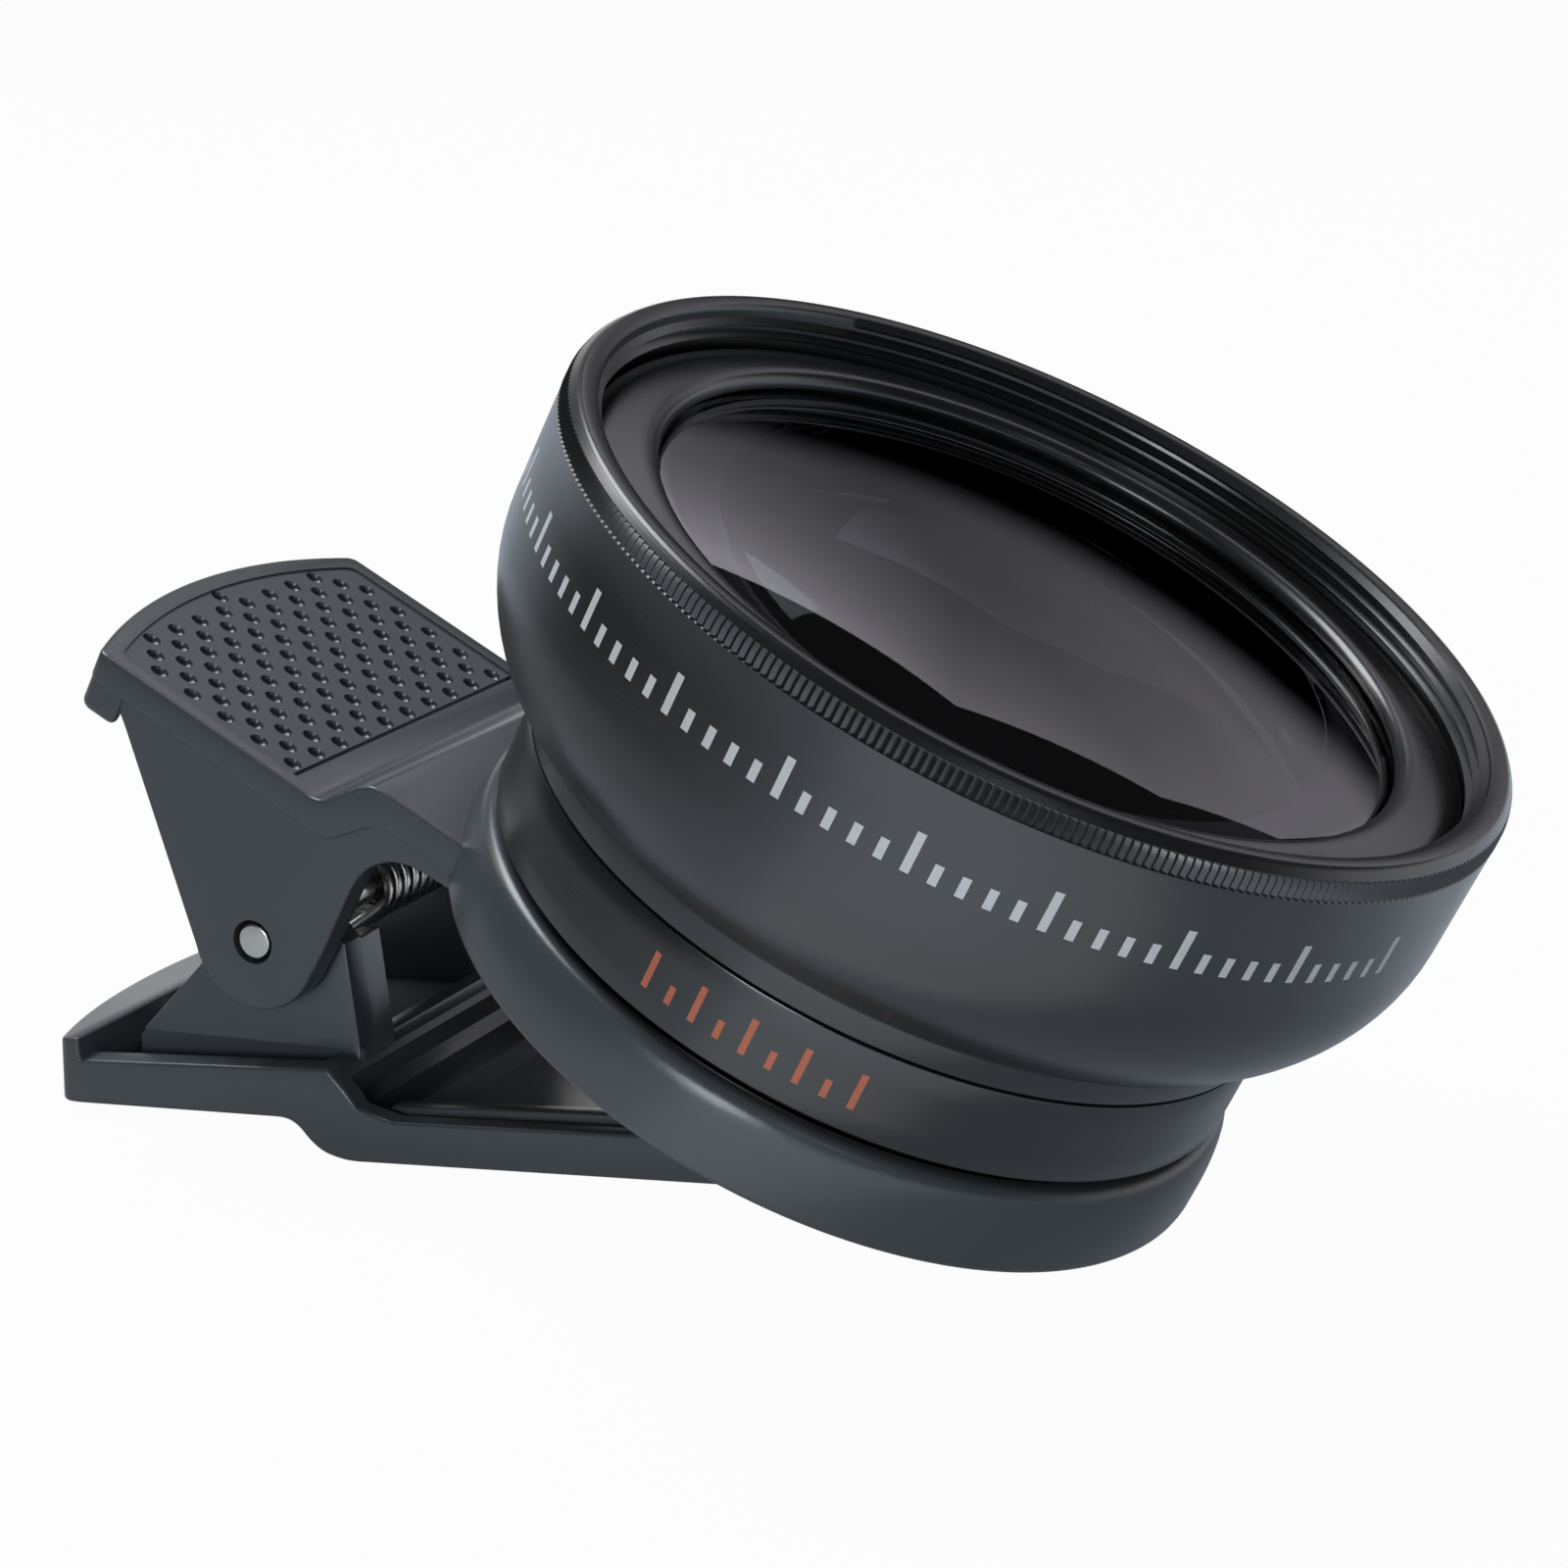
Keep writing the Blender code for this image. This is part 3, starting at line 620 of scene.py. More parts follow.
def add_thread(piece, wall, low, turns, depth, steps=144):
    """Join a helical ridge to a piece. A negative depth points inwards from the wall."""
    start_alone()
    bpy.ops.mesh.primitive_circle_add(vertices=3, radius=1.0 * MM)
    ridge = bpy.context.object
    root = wall - math.copysign(RIDGE_SUNK, depth)
    half = RIDGE_HALF * THREAD_PITCH
    corners = ((root, low), (wall + depth, low + half), (root, low + 2 * half))
    for vertex, (r, z) in zip(ridge.data.vertices, corners):
        vertex.co = (r * MM, 0.0, z * MM)
    screw = ridge.modifiers.new("Thread", "SCREW")
    screw.angle = math.tau * turns
    screw.screw_offset = THREAD_PITCH * turns * MM
    screw.steps = round(steps * turns)
    screw.render_steps = round(steps * turns)
    bpy.ops.object.modifier_apply(modifier=screw.name)
    bpy.ops.object.mode_set(mode="EDIT")
    select_boundary(ridge)
    bpy.ops.mesh.fill_holes(sides=3)
    close_up(ridge)
    select_only(piece)
    ridge.select_set(True)
    bpy.ops.object.join()

# %% [markdown]
# ## The wide barrel
#
# This is the largest piece: a satin black barrel that swells from its neck in a soft shoulder to
# a straight wall, with a fine straight knurl round the rim's edge. The knurl has 360 teeth, so the
# barrel gets 720 columns, and on three rings every second point is pulled in. The rim's inner wall
# carries the filter thread.

# %% Wide barrel
KNURL_TEETH = 360
KNURL_DEPTH = 0.17
BARREL_WALL = 26.47
KNURL_RINGS = ((26.36, 28.1), (26.47, 27.75), (26.49, 27.12))
WIDE_MARKS = (22.3, 23.4, 24.5)
SHOULDER_TOP, SHOULDER_HEIGHT, SHOULDER_POWER = 20.5, 8.5, 1.5


def shoulder_rings(top_radius, count=18):
    """The swelling between neck and wall, from its top down to its foot."""
    rings = []
    for index in range(count + 1):
        angle = math.radians(90 * index / count)
        r = NECK_RADIUS + (top_radius - NECK_RADIUS) * math.cos(angle) ** SHOULDER_POWER
        rings.append((r, SHOULDER_TOP - SHOULDER_HEIGHT * math.sin(angle)))
    return rings


wide_outline = (
    [(24.8, 28.35), (24.92, 28.58), (25.15, 28.7), (25.72, 28.7), (25.92, 28.64), (26.04, 28.52)]
    + [(26.3, 28.2)] + list(KNURL_RINGS) + [(26.49, 27.03), (BARREL_WALL, 26.95)]
    + [(BARREL_WALL, mark) for mark in WIDE_MARKS[::-1]]
    + shoulder_rings(BARREL_WALL)
    + [(NECK_RADIUS, 10.6), (21.36, 10.53), (21.28, 10.49), (18.3, 10.49)]
    + [(18.3, 7.95), (18.1, 7.7), (15.6, 7.7), (15.4, 7.9), (15.4, 12.7), (14.0, 12.7)]
    + [(14.0, 13.6), (16.2, 13.6), (20.6, 16.5), (20.6, 22.5), (21.3, 22.5), (21.3, 25.0)]
    + [(24.75, 25.0), (24.8, 25.05)]
)
wide_barrel = turn("wide_barrel_turned", wide_outline, segments=2 * KNURL_TEETH)

bpy.ops.object.mode_set(mode="EDIT")
column = math.tau / (2 * KNURL_TEETH)
for ring_radius, ring_height in KNURL_RINGS:
    def in_groove(vertex, height=ring_height, outer=ring_radius):
        place = vertex.co / MM
        turned_by = round(math.atan2(place.y, place.x) / column)
        on_ring = abs(place.z - height) < TOLERANCE and place.xy.length > outer - TOLERANCE
        return on_ring and turned_by % 2 == 0
    select_where(wide_barrel, "VERT", in_groove)
    share = 1.0 - KNURL_DEPTH / ring_radius
    bpy.ops.transform.resize(value=(share, share, 1.0), center_override=(0.0, 0.0, 0.0))
bpy.ops.object.mode_set(mode="OBJECT")

add_thread(wide_barrel, 24.8, 26.3, 2.4, -0.38)
add_thread(wide_barrel, 18.3, 7.9, 3.0, 0.13)
put(wide_barrel, TO_LENS_PLACE, anodised_black, "wide_barrel", "wide_barrel")

# %% [markdown]
# The real barrels carry a printed line each. Their places get plain scale marks instead, in the
# same white and orange. A mark is just some faces of the wall with another material, so it is
# crisp from any distance and adds nothing to the shape.

# %% Marks on the barrels
WORN_SHARE = 0.86


def print_marks(piece, ink, wanted):
    """Give another material to the faces that a test on radius, height and angle picks."""
    to_upright = TO_LENS_PLACE.inverted()

    def marked(face):
        place = to_upright @ face.calc_center_median()
        angle = math.degrees(math.atan2(place.y, place.x))
        return wanted(place.xy.length / MM, place.z / MM, angle)

    piece.data.materials.append(ink)
    select_only(piece)
    bpy.ops.object.mode_set(mode="EDIT")
    chosen = select_where(piece, "FACE", marked)
    piece.active_material_index = len(piece.data.materials) - 1
    bpy.ops.object.material_slot_assign()
    bpy.ops.object.mode_set(mode="OBJECT")
    print(piece.name, "has", chosen, "printed faces")


def make_ink(name, colour):
    ink, nodes, links, shader = new_material(name)
    grain = add_grain(nodes, links, shader, object_place(nodes), 2200.0, 0.15, 0.00003)
    vary(nodes, links, grain, 0.42, 0.55, shader.inputs["Roughness"])
    worn = tuple(part * WORN_SHARE for part in colour)
    mix_tones(nodes, links, grain, worn, colour, shader.inputs["Base Color"])
    return ink


def make_scale(wall, heights, first, last, zero, pitch, long_pitch):
    """A test for ticks 1 degree wide: one at every pitch, a longer one at every long pitch."""
    low, middle, top = heights

    def on_tick(radius, height, angle):
        if radius < wall - TOLERANCE or not first < angle < last:
            return False
        step = (angle - zero) % long_pitch
        return step % pitch < 1 and low < height < (top if step < 1 else middle)

    return on_tick


wide_scale = make_scale(BARREL_WALL, WIDE_MARKS, -154, -14, 0, 3, 15)
print_marks(wide_barrel, make_ink("white_print", (0.78, 0.8, 0.82)), wide_scale)

# %% [markdown]
# ## Bezel, spacer and retaining rings
#
# The bezel slopes up from the thread to a rolled lip that holds the glass. Under the glass a tube
# keeps the two glasses apart. Its wall has sharp little steps, which catch stray light, so the
# inside looks black. The retaining rings have two slots each for the tool that tightens them.

# %% Bezel and spacer
bezel_outline = [
    (24.5, 25.32), (24.5, 26.1), (24.3, 26.26), (23.4, 26.46), (22.5, 26.64), (22.0, 26.74),
    (21.72, 26.79), (21.48, 26.81), (21.26, 26.78), (21.05, 26.69), (20.88, 26.54), (20.77, 26.36),
    (20.72, 26.2), (20.72, 26.0), (21.5, 26.0), (21.5, 25.32),
]
bezel = turn("front_bezel_turned", bezel_outline, segments=256)
put(bezel, TO_LENS_PLACE, anodised_black, "wide_cell", "front_bezel")

BORE, GROOVE, STEP_PITCH, STEP_COUNT = 19.3, 19.75, 0.45, 10
baffle = [(BORE, 22.4)]
for index in range(STEP_COUNT):
    height = 22.0 - STEP_PITCH * index
    baffle += [(BORE, height), (GROOVE, height - 0.12), (BORE, height - 0.3)]
spacer_outline = (
    [(20.2, 22.4)] + baffle + [(BORE, 17.3), (14.6, 14.0), (15.8, 14.0), (20.2, 16.9)]
)
spacer = turn("spacer_tube_turned", spacer_outline, segments=128)
put(spacer, TO_LENS_PLACE, anodised_black, "wide_cell", "spacer_tube")

# %% Retaining rings
SLOT_HALF = 0.9


def cut_slots(piece, height, inner, outer, depth):
    """Push two small patches of a flat face in, on opposite sides, for a spanner."""
    def in_slot(face):
        middle = face.calc_center_median() / MM
        on_face = abs(middle.z - height) < TOLERANCE and inner < middle.xy.length < outer
        return on_face and abs(middle.y) < SLOT_HALF

    bpy.ops.object.mode_set(mode="EDIT")
    select_where(piece, "FACE", in_slot)
    bpy.ops.mesh.extrude_region_move(TRANSFORM_OT_translate={"value": (0.0, 0.0, depth * MM)})
    bpy.ops.object.mode_set(mode="OBJECT")


KEEPERS = (
    ("macro_retaining_ring", "macro_cell", (7.0, 15.0, 15.8, -0.5),
     [(15.9, 6.9), (15.8, 7.0), (15.0, 7.0), (14.3, 6.3), (14.3, 5.5), (15.9, 5.5)]),
    ("rear_retaining_ring", "wide_cell", (7.9, 14.0, 15.0, 0.45),
     [(15.1, 8.8), (15.1, 8.0), (15.0, 7.9), (14.0, 7.9), (13.4, 8.3), (13.4, 8.8)]),
)
for node, body, slots, outline in KEEPERS:
    keeper = turn(node + "_turned", outline)
    cut_slots(keeper, *slots)
    put(keeper, TO_LENS_PLACE, anodised_black, body, node)

# %% [markdown]
# ## The macro barrel
#
# The smaller lens screws into the carrier ring. Only its straight wall shows, between the dark gap
# above the ring and the hair-thin seam under the wide barrel's neck. Its lower thread holds it in
# the ring, and its upper thread takes the wide barrel.

# %% Macro barrel
MACRO_MARKS = (6.8, 7.85, 8.9)
macro_outline = [
    (21.28, 10.36), (21.36, 10.32), (NECK_RADIUS, 10.25),
    *[(NECK_RADIUS, mark) for mark in MACRO_MARKS[::-1]], (NECK_RADIUS, 5.62), (21.33, 5.48),
    (21.2, 5.42), (19.9, 5.42), (19.9, 4.3), (18.3, 4.3), (18.3, 2.25), (18.1, 2.0), (15.5, 2.0),
    (15.3, 2.2), (15.3, 2.7), (16.2, 2.7), (16.2, 7.4), (18.6, 7.4), (18.6, 10.24), (18.72, 10.36),
]
macro_barrel = turn("macro_barrel_turned", macro_outline, segments=360)
add_thread(macro_barrel, 18.3, 2.15, 2.0, 0.13)
add_thread(macro_barrel, 18.6, 7.5, 2.8, -0.13)
put(macro_barrel, TO_LENS_PLACE, anodised_black, "macro_barrel", "macro_barrel")

macro_scale = make_scale(NECK_RADIUS, MACRO_MARKS, -99, -65, -99, 4, 8)
print_marks(macro_barrel, make_ink("orange_print", (0.62, 0.17, 0.09)), macro_scale)

# %% [markdown]
# ## The jaws
#
# Both jaws are plastic mouldings: flat walls, a floor and a few ribs, each with an even wall
# thickness. Such a form is made of slabs. A slab is an outline, filled as one face and extruded.
# Slabs are then joined or cut with Boolean modifiers. Each slab has its long edges rounded before
# it is joined, because a bevel works best on a simple shape.

# %% Helpers for moulded pieces
LARGEST_SHARE = 0.45


def arc(centre_x, centre_y, radius, start, end, count):
    """Points on a circle from the start to the end angle, both in degrees."""
    points = []
    for index in range(count + 1):
        angle = math.radians(start + (end - start) * index / count)
        points.append((centre_x + radius * math.cos(angle), centre_y + radius * math.sin(angle)))
    return points


def soften(points, reach, steps=4, closed=False):
    """Replace each corner by a short curve that starts at most the reach before it."""
    points = [Vector(point) for point in points]
    result = []
    for index, corner in enumerate(points):
        if not closed and index in (0, len(points) - 1):
            result.append(tuple(corner))
            continue
        before = points[index - 1] - corner
        after = points[(index + 1) % len(points)] - corner
        start = corner + before * min(reach / before.length, LARGEST_SHARE)
        end = corner + after * min(reach / after.length, LARGEST_SHARE)
        for step in range(steps + 1):
            t = step / steps
            place = start * (1 - t) ** 2 + corner * (2 * t * (1 - t)) + end * t ** 2
            result.append(tuple(place))
    return result


def slab(name, outline, low, high, upright=True):
    """A filled outline made thick: it stands in XZ and runs along Y, or lies in XY."""
    start_alone()
    bpy.ops.mesh.primitive_circle_add(vertices=len(outline), radius=MM, fill_type="NGON")
    piece = bpy.context.object
    piece.name = name
    for vertex, (a, b) in zip(piece.data.vertices, outline):
        vertex.co = Vector((a, low, b) if upright else (a, b, low)) * MM
    bpy.ops.object.mode_set(mode="EDIT")
    bpy.ops.mesh.select_mode(type="VERT")
    bpy.ops.mesh.select_all(action="SELECT")
    thick = (high - low) * MM
    way = (0.0, thick, 0.0) if upright else (0.0, 0.0, thick)
    bpy.ops.mesh.extrude_region_move(TRANSFORM_OT_translate={"value": way})
    close_up(piece)
    return piece


def apply_on(piece, modifier):
    select_only(piece)
    bpy.ops.object.modifier_apply(modifier=modifier.name)


def combine(piece, tool, operation):
    """Join a second piece on, cut it away, or keep what both share. The second is used up."""
    modifier = piece.modifiers.new("Combine", "BOOLEAN")
    modifier.operation = operation
    modifier.solver = "EXACT"
    modifier.object = tool
    apply_on(piece, modifier)
    bpy.data.objects.remove(tool, do_unlink=True)


def round_edges(piece, width, segments=3, angle=50.0):
    """Round every edge that is sharper than an angle."""
    modifier = piece.modifiers.new("Rounding", "BEVEL")
    modifier.width = width * MM
    modifier.segments = segments
    modifier.limit_method = "ANGLE"
    modifier.angle_limit = math.radians(angle)
    modifier.use_clamp_overlap = False
    apply_on(piece, modifier)


def bar(name, radius, half_length, x, z, segments=48):
    """A round bar across the clip, along Y."""
    start_alone()
    bpy.ops.mesh.primitive_cylinder_add(
        vertices=segments, radius=radius * MM, depth=2 * half_length * MM,
        location=(x * MM, 0.0, z * MM), rotation=(math.pi / 2, 0.0, 0.0),
    )
    piece = bpy.context.object
    piece.name = name
    bpy.ops.object.transform_apply()
    return piece


def on_side(side, inner, outer):
    """Limits along Y for a form on one side of the middle: the far one is 1, the near one -1."""
    return sorted((side * inner, side * outer))


END_ARC = 33.0
CORNER = 0.8
PAD_REAR = -44.6
HALF_WIDTH = 12.7


def rear_end(rear, inset=0.0, half_width=HALF_WIDTH):
    """The curved rear end of the pad or the tray, from its far side to its near side."""
    radius = END_ARC - inset
    centre_x = rear + END_ARC
    spread = math.degrees(math.asin((half_width - CORNER) / (radius - CORNER)))
    corner_x = centre_x - (radius - CORNER) * math.cos(math.radians(spread))
    corner_y = half_width - CORNER
    far = arc(corner_x, corner_y, CORNER, 90, 180 - spread, 5)
    middle = arc(centre_x, 0.0, radius, 180 - spread, 180 + spread, 28)
    near = arc(corner_x, -corner_y, CORNER, 180 + spread, 270, 5)
    return far[:-1] + middle + near[1:]


def lip_band(inset, thickness, half_width):
    """A band along the curved rear end: its outer line has round corners, its inner one none."""
    inner = END_ARC - thickness
    spread = math.degrees(math.asin(half_width / inner))
    inner_line = arc(PAD_REAR + END_ARC, 0.0, inner, 180 + spread, 180 - spread, 28)
    return rear_end(PAD_REAR, inset, half_width) + inner_line

# %% [markdown]
# The upper jaw is one moulding of five forms: the thumb pad, its two side walls, the arm and the
# carrier ring. The pad and the arm share one long side outline, which dips to a small valley
# and rises to the arm's crest. A plan outline then trims them to the pad's curved rear end.

# %% Upper jaw: pad, walls and arm
PIN_X, PIN_Z = -27.16, -10.28
PIN_HOLE_RADIUS = 1.25
WALL_INNER, WALL_OUTER = 10.5, 12.4
ARM_RADIUS = 21.0

top_line = soften([
    (-46, -0.45), (-27.25, -0.45), (-26.55, -0.2), (-25.0, 1.72), (-24.3, 2.28), (-23.5, 2.38),
    (-15, 2.38),
], 0.5, steps=5)
under_line = soften([
    (-15, 0.5), (-22.4, 0.5), (-23.3, 0.2), (-25.3, -2.0), (-25.8, -2.2), (-46, -2.2),
], 0.4)
upper_jaw = slab("upper_jaw_moulding", top_line + under_line, -15, 15)
spread = math.degrees(math.asin(HALF_WIDTH / ARM_RADIUS))
arm_end = arc(0.0, 0.0, ARM_RADIUS, 180 + spread, 180 - spread, 24)
plan = slab("pad_plan", rear_end(PAD_REAR) + arm_end, -16, 6, upright=False)
combine(upper_jaw, plan, "INTERSECT")
round_edges(upper_jaw, 0.22)

wall_outline = (
    [(-41.2, -1.4), (-40.6, -2.4), (-39.1, -3.8)]
    + arc(PIN_X, PIN_Z, 3.9, 218, 360, 28)
    + soften([(-23.12, -8.0), (-23.1, -3.6), (-22.7, -2.2), (-21.7, -1.1), (-20.3, -0.55),
              (-15.5, -0.35)], 0.9)
    + [(-15.5, 1.2), (-23.2, 1.2), (-25.4, -1.2)]
)
for side in (-1, 1):
    wall = slab("side_wall", wall_outline, *on_side(side, WALL_INNER, WALL_OUTER))
    round_edges(wall, 0.22)
    combine(upper_jaw, wall, "UNION")
print("pad, walls and arm:", len(upper_jaw.data.polygons), "faces")

# %% [markdown]
# The pad's underside ends in a rounded lip that follows the curved rear end. It is a band with a
# large rounding.

# %% Upper jaw: lip and ring
band = slab("lip_band", lip_band(0.05, 2.3, 12.6), -4.15, -1.3, upright=False)
round_edges(band, 0.55, segments=5)
combine(upper_jaw, band, "UNION")

ring_outline = [
    (20.2, 4.0), (20.3, 4.5), (20.5, 4.72), (20.8, 4.8), (21.1, 4.79), (21.38, 4.7),
    (21.6, 4.5), (21.76, 4.2), (21.88, 3.85), (21.96, 3.45), (22.03, 2.95), (22.08, 2.4),
    (22.1, 1.8), (22.1, 0.35), (22.07, 0.18), (22.0, 0.06), (21.85, 0.0), (20.8, 0.0), (20.7, 0.1),
    (20.7, 0.9), (15.4, 0.9), (15.4, 0.1), (15.3, 0.0), (15.0, 0.0), (14.9, 0.1), (14.9, 1.6),
    (15.0, 1.7), (18.6, 1.7), (18.6, 4.0),
]
ring = turn("carrier_ring", ring_outline, segments=240)
combine(upper_jaw, ring, "UNION")
combine(upper_jaw, bar("pin_hole", PIN_HOLE_RADIUS, 16, PIN_X, PIN_Z), "DIFFERENCE")
print("with lip and ring:", len(upper_jaw.data.polygons), "faces")

# %% [markdown]
# The pad's top has a shallow sunken field, and in it a good hundred small dimples in staggered
# rows, which give the thumb a grip. One dimple is an ellipsoid. All of them are joined into one
# tool and cut out in a single Boolean, which is far quicker than one after the other.

# %% Upper jaw: thumb grip
PAD_TOP, ABOVE_PAD = -0.45, 0.55
FIELD_REAR, FIELD_FRONT = PAD_REAR + 1.2, -28.9
FIELD_HALF, FIELD_DEPTH = 11.6, 0.12
GROOVE_REAR, GROOVE_DEPTH = -29.25, 0.3
COLUMN_PITCH, DIMPLE_PITCH = 1.18, 2.33
FIRST_COLUMN, COLUMN_COUNT = -29.87, 12
DIMPLE_SIZE, DIMPLE_RAISED, ROW_SHIFT = (0.56, 0.5, 0.46), 0.02, -0.1
SIDE_MARGIN, REAR_MARGIN = 0.45, 0.5

field = slab(
    "grip_field", rear_end(FIELD_REAR, 0.0, FIELD_HALF)
    + [(FIELD_FRONT, -FIELD_HALF), (FIELD_FRONT, FIELD_HALF)],
    PAD_TOP - FIELD_DEPTH, ABOVE_PAD, upright=False,
)
combine(upper_jaw, field, "DIFFERENCE")
groove_outline = [
    (GROOVE_REAR, -FIELD_HALF), (FIELD_FRONT, -FIELD_HALF),
    (FIELD_FRONT, FIELD_HALF), (GROOVE_REAR, FIELD_HALF),
]
groove = slab(
    "field_groove", groove_outline, PAD_TOP - GROOVE_DEPTH, ABOVE_PAD, upright=False,
)
combine(upper_jaw, groove, "DIFFERENCE")

start_alone()
dimples = []
for column in range(COLUMN_COUNT):
    x = FIRST_COLUMN - column * COLUMN_PITCH
    for row in range(-5, 6):
        y = (row + (0.5 if column % 2 == 0 else 0.0)) * DIMPLE_PITCH + ROW_SHIFT
        rear = FIELD_REAR + END_ARC - math.sqrt(END_ARC ** 2 - y ** 2)
        if abs(y) < FIELD_HALF - SIDE_MARGIN and x > rear + REAR_MARGIN:
            bpy.ops.mesh.primitive_uv_sphere_add(
                segments=12, ring_count=6, radius=MM, scale=DIMPLE_SIZE,
                location=(x * MM, y * MM, (PAD_TOP - FIELD_DEPTH + DIMPLE_RAISED) * MM),
            )
            dimples.append(bpy.context.object)
bpy.ops.object.select_all(action="DESELECT")
for dimple in dimples:
    dimple.select_set(True)
bpy.ops.object.join()
bpy.ops.object.transform_apply()
combine(upper_jaw, bpy.context.object, "DIFFERENCE")
add_thread(upper_jaw, 18.6, 1.85, 2.4, -0.13)
put(upper_jaw, TO_LENS_PLACE, clip_plastic, "upper_jaw", "upper_jaw")
print(len(dimples), "dimples")

# %% [markdown]
# The lower jaw lies on the table: a handle tray, a step down to the heel, and a channel-shaped
# front jaw that ends in a half-round tip under the ring. Two inner lugs carry the pin.

# %% Lower jaw
foot_line = soften([
    (-45.5, 0.0), (-41.2, 0.0), (-26.9, 1.8), (-26.1, 1.5), (-25.3, 0.7), (-24.4, 0.18),
    (-22.9, 0.0), (-0.4, 3.14),
], 0.7)
tip_line = [lens_to_table(x, z) for x, z in ((5.5, -3.7), (8, -2.9), (15, -2.05), (18.4, -1.83))]
tip_line += [lens_to_table(x, -1.35) for x in (18.4, 4.4)]
rim_line = [(-20, 2.87), (-22.2, 3.2), (-22.9, 4.0), (-24.1, 5.15), (-40.7, 2.65)]
tray_line = [(-40.75, 3.95), (-45.5, 3.2)]
lower_jaw = slab("lower_jaw_moulding", foot_line + tip_line + rim_line + tray_line, -15, 15)
tip_arc = arc(2.6, 0.0, HALF_WIDTH, -90, 90, 48)
plan = slab("jaw_plan", rear_end(TRAY_REAR) + tip_arc, -2, 14, upright=False)
combine(lower_jaw, plan, "INTERSECT")
round_edges(lower_jaw, 0.2, segments=3)

side_step = [(-22.4, 1.3), (-20.8, 1.3), (1.6, 4.6), (1.6, 9), (-22.4, 9)]
HOLLOWS = (
    ([(-40.7, 1.35), (-26.6, 3.05), (-25.2, 3.25), (-25.2, 9), (-40.7, 9)], -11.1, 11.1),
    ([(-23.4, 2.2), (-21.4, 2.3), (2.4, 5.9), (2.4, 9), (-23.4, 9)], -11.5, 11.5),
    (side_step, -11.5, -10.9),
    (side_step, 10.9, 11.5),
    ([(-23.4, 1.05), (-20.8, 1.05), (0.5, 4.05), (0.5, 9), (-23.4, 9)], -9.8, 9.8),
    ([(-23.4, 1.05), (-20.75, 1.05), (-20.75, 9), (-23.4, 9)], -11.3, 11.3),
)
for outline, low, high in HOLLOWS:
    combine(lower_jaw, slab("hollow_tool", outline, low, high), "DIFFERENCE")

# %% Lower jaw: lugs and rib
pin_x, pin_z = lens_to_table(PIN_X, PIN_Z)
lug_outline = (
    [(-38.6, 1.3), (-38.6, 3.6), (-34.2, 8.6)] + arc(pin_x, pin_z, 3.0, 180, 50, 20)
    + [(-24.5, 11.5), (-23.6, 5.5), (-23.55, 3.6), (-25.6, 2.9)]
)
flange_outline = [(-24.53, 11.45), (-23.64, 5.5), (-23.64, 4.4), (-24.9, 4.4), (-25.7, 11.3)]
below_face = [(-45, -1), (-20, -1), (-20, 5.82), (-45, 3.58)]
for side in (-1, 1):
    lug = slab("lug", lug_outline, *on_side(side, 8.4, 10.1))
    round_edges(lug, 0.15, segments=2)
    combine(lug, slab("below_face", below_face, *on_side(side, 9.6, 11)), "DIFFERENCE")
    flange = slab("lug_flange", flange_outline, *on_side(side, 6.5, 9.75))
    round_edges(flange, 0.12, segments=2)
    combine(lug, flange, "UNION")
    combine(lower_jaw, lug, "UNION")
rib_outline = [
    (-24.86, 0.9), (-24.86, 5.55), (-23.75, 5.55), (-23.66, 3.5), (-22.7, 2.75), (-22.6, 0.9),
]
rib = slab("cross_rib", rib_outline, -9.9, 9.9)
round_edges(rib, 0.15, segments=2)
combine(lower_jaw, rib, "UNION")
rail_outline = [(-20.7, 1.25), (-21.2, 2.95), (-15.4, 3.88), (1.0, 6.4), (1.0, 4.4)]
for low, high in ((-10.95, -9.75), (9.75, 11.6)):
    rail = slab("inner_rail", rail_outline, low, high)
    round_edges(rail, 0.15, segments=2)
    combine(lower_jaw, rail, "UNION")
combine(lower_jaw, bar("pin_hole", PIN_HOLE_RADIUS, 11, pin_x, pin_z), "DIFFERENCE")
put(lower_jaw, TO_TABLE_PLACE, clip_plastic, "lower_jaw", "lower_jaw")

# %% [markdown]
# ## Pin, spring and soft pads
#
# The steel pin has small chamfers at its ends. The spring is a wire of eight turns with two
# straight legs, one under the thumb pad and one on the tray. When the clip opens, one leg follows
# the upper jaw and the other stays; here the wire is built in its resting shape.

# %% Pivot pin
PIN_RADIUS, PIN_HALF, PIN_CHAMFER = 1.0, 12.3, 0.14
pin = bar("pivot_pin_turned", PIN_RADIUS, PIN_HALF, pin_x, pin_z, segments=64)
round_edges(pin, PIN_CHAMFER, segments=3)
put(pin, TO_TABLE_PLACE, bright_steel, "lower_jaw", "pivot_pin")

# %% Torsion spring
COIL_RADIUS, WIRE_RADIUS, COIL_TURNS = 1.7, 0.45, 8
COIL_NEAR, COIL_FAR = -1.1, 6.6
LEG_END, STEPS_PER_TURN = -38.0, 28


def tangent_angle(leg, side):
    """Where a straight leg that ends at this place meets the coil, as an angle about the pin."""
    return math.atan2(leg.y, leg.x) + side * math.acos(COIL_RADIUS / leg.length)


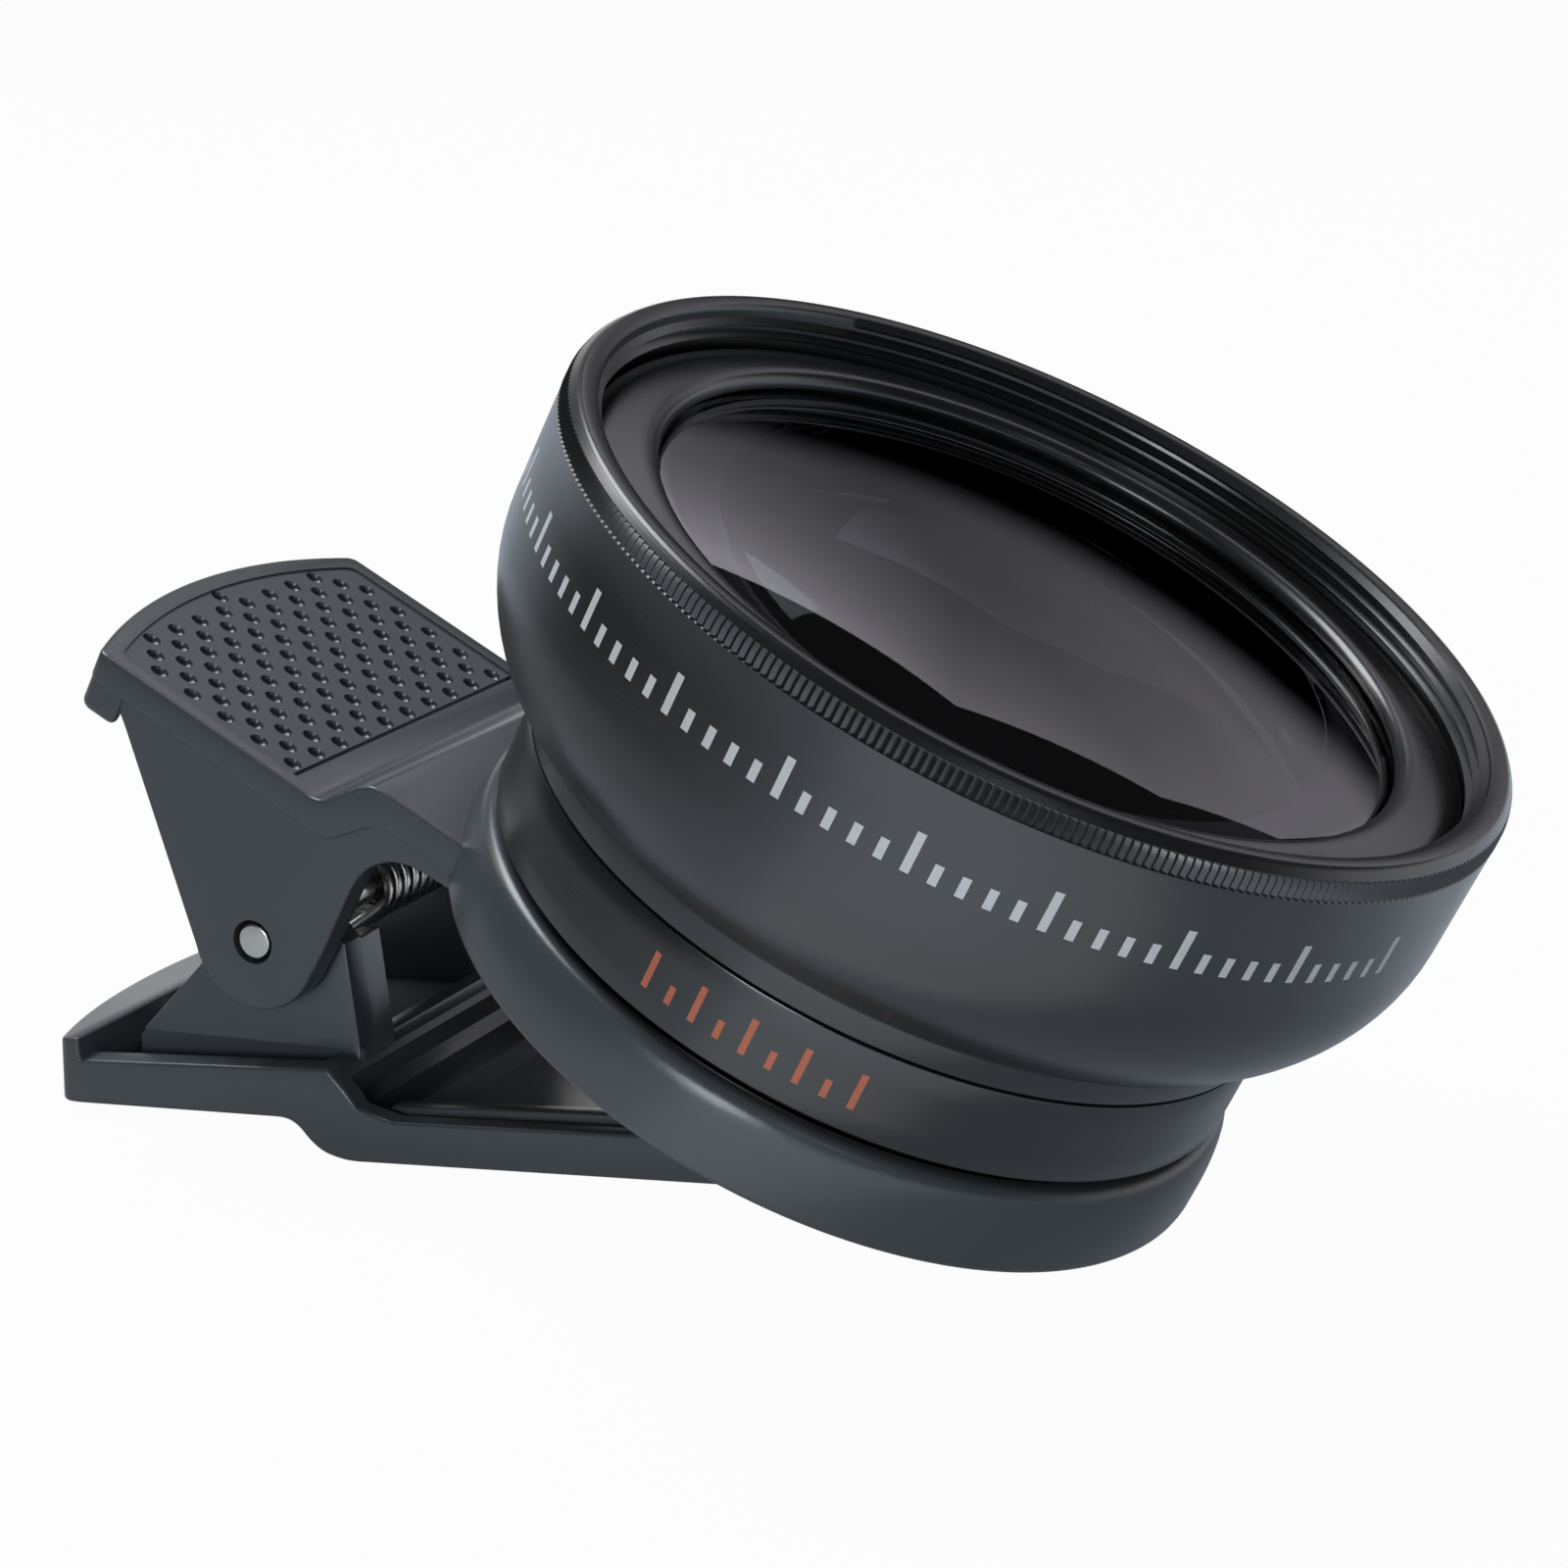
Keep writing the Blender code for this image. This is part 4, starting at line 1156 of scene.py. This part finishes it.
axis = Vector((pin_x, pin_z))
upper_end = Vector(lens_to_table(LEG_END, -2.95))
lower_end = Vector((LEG_END, 2.35))
coil_start = tangent_angle(upper_end - axis, -1)
coil_stop = tangent_angle(lower_end - axis, 1) - math.tau * COIL_TURNS
steps = STEPS_PER_TURN * COIL_TURNS
wire = [(upper_end.x, COIL_FAR, upper_end.y)]
for index in range(steps + 1):
    share = index / steps
    angle = coil_start + (coil_stop - coil_start) * share
    across = COIL_FAR + (COIL_NEAR - COIL_FAR) * share
    wire.append((
        axis.x + COIL_RADIUS * math.cos(angle), across, axis.y + COIL_RADIUS * math.sin(angle),
    ))
wire.append((lower_end.x, COIL_NEAR, lower_end.y))

start_alone()
path = bpy.data.curves.new("spring_wire", "CURVE")
path.dimensions = "3D"
path.bevel_depth = WIRE_RADIUS * MM
path.bevel_resolution = 3
path.use_fill_caps = True
spline = path.splines.new("POLY")
spline.points.add(len(wire) - 1)
for point, place in zip(spline.points, wire):
    point.co = (*(Vector(place) * MM), 1.0)
spring = bpy.data.objects.new("torsion_spring_wire", path)
bpy.context.scene.collection.objects.link(spring)
select_only(spring)
bpy.ops.object.convert(target="MESH")
spring = bpy.context.object
bpy.ops.object.mode_set(mode="EDIT")
close_up(spring)
spring.data.transform(TO_TABLE_PLACE)
bpy.ops.object.shade_smooth_by_angle(angle=math.radians(40))
spring.data.materials.append(bright_steel)
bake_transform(spring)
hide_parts("torsion_spring")
print("spring:", len(spring.data.polygons), "faces")

# %% [markdown]
# The phone is held between two soft pads. The cushion in the ring's groove has two raised rings
# that seal round the phone's camera, and the jaw's pad is a half disc with a fine ribbed face.

# %% Soft pads
cushion_outline = [
    (20.4, 0.6), (20.4, 0.08), (20.32, 0.0), (19.9, 0.0), (19.75, 0.12), (18.9, 0.12), (18.75, 0.0),
    (17.3, 0.0), (17.15, 0.12), (16.35, 0.12), (16.2, 0.0), (15.78, 0.0), (15.7, 0.08), (15.7, 0.6),
]
cushion = turn("ring_cushion_moulded", cushion_outline, segments=144)
put(cushion, TO_LENS_PLACE, soft_rubber, "upper_jaw", "ring_cushion")

PAD_LOW, PAD_HIGH = -1.37, -0.3
RIB_PITCH, GROOVE_HALF, FACE_RADIUS = 2.3, 0.18, 11.0
pad_outline = soften(arc(5.0, 0.0, 11.6, -90, 90, 40), 0.3, steps=2, closed=True)
jaw_pad = slab("jaw_pad_moulded", pad_outline, PAD_LOW, PAD_HIGH, upright=False)
round_edges(jaw_pad, 0.12)
for index in range(-4, 5):
    y = index * RIB_PITCH
    front = 4.2 + math.sqrt(FACE_RADIUS ** 2 - y ** 2)
    low, high = y - GROOVE_HALF, y + GROOVE_HALF
    groove = slab(
        "groove_tool", [(5.8, low), (front, low), (front, high), (5.8, high)],
        PAD_HIGH - 0.2, PAD_HIGH + 0.5, upright=False,
    )
    combine(jaw_pad, groove, "DIFFERENCE")
put(jaw_pad, TO_LENS_PLACE, soft_rubber, "lower_jaw", "jaw_pad")
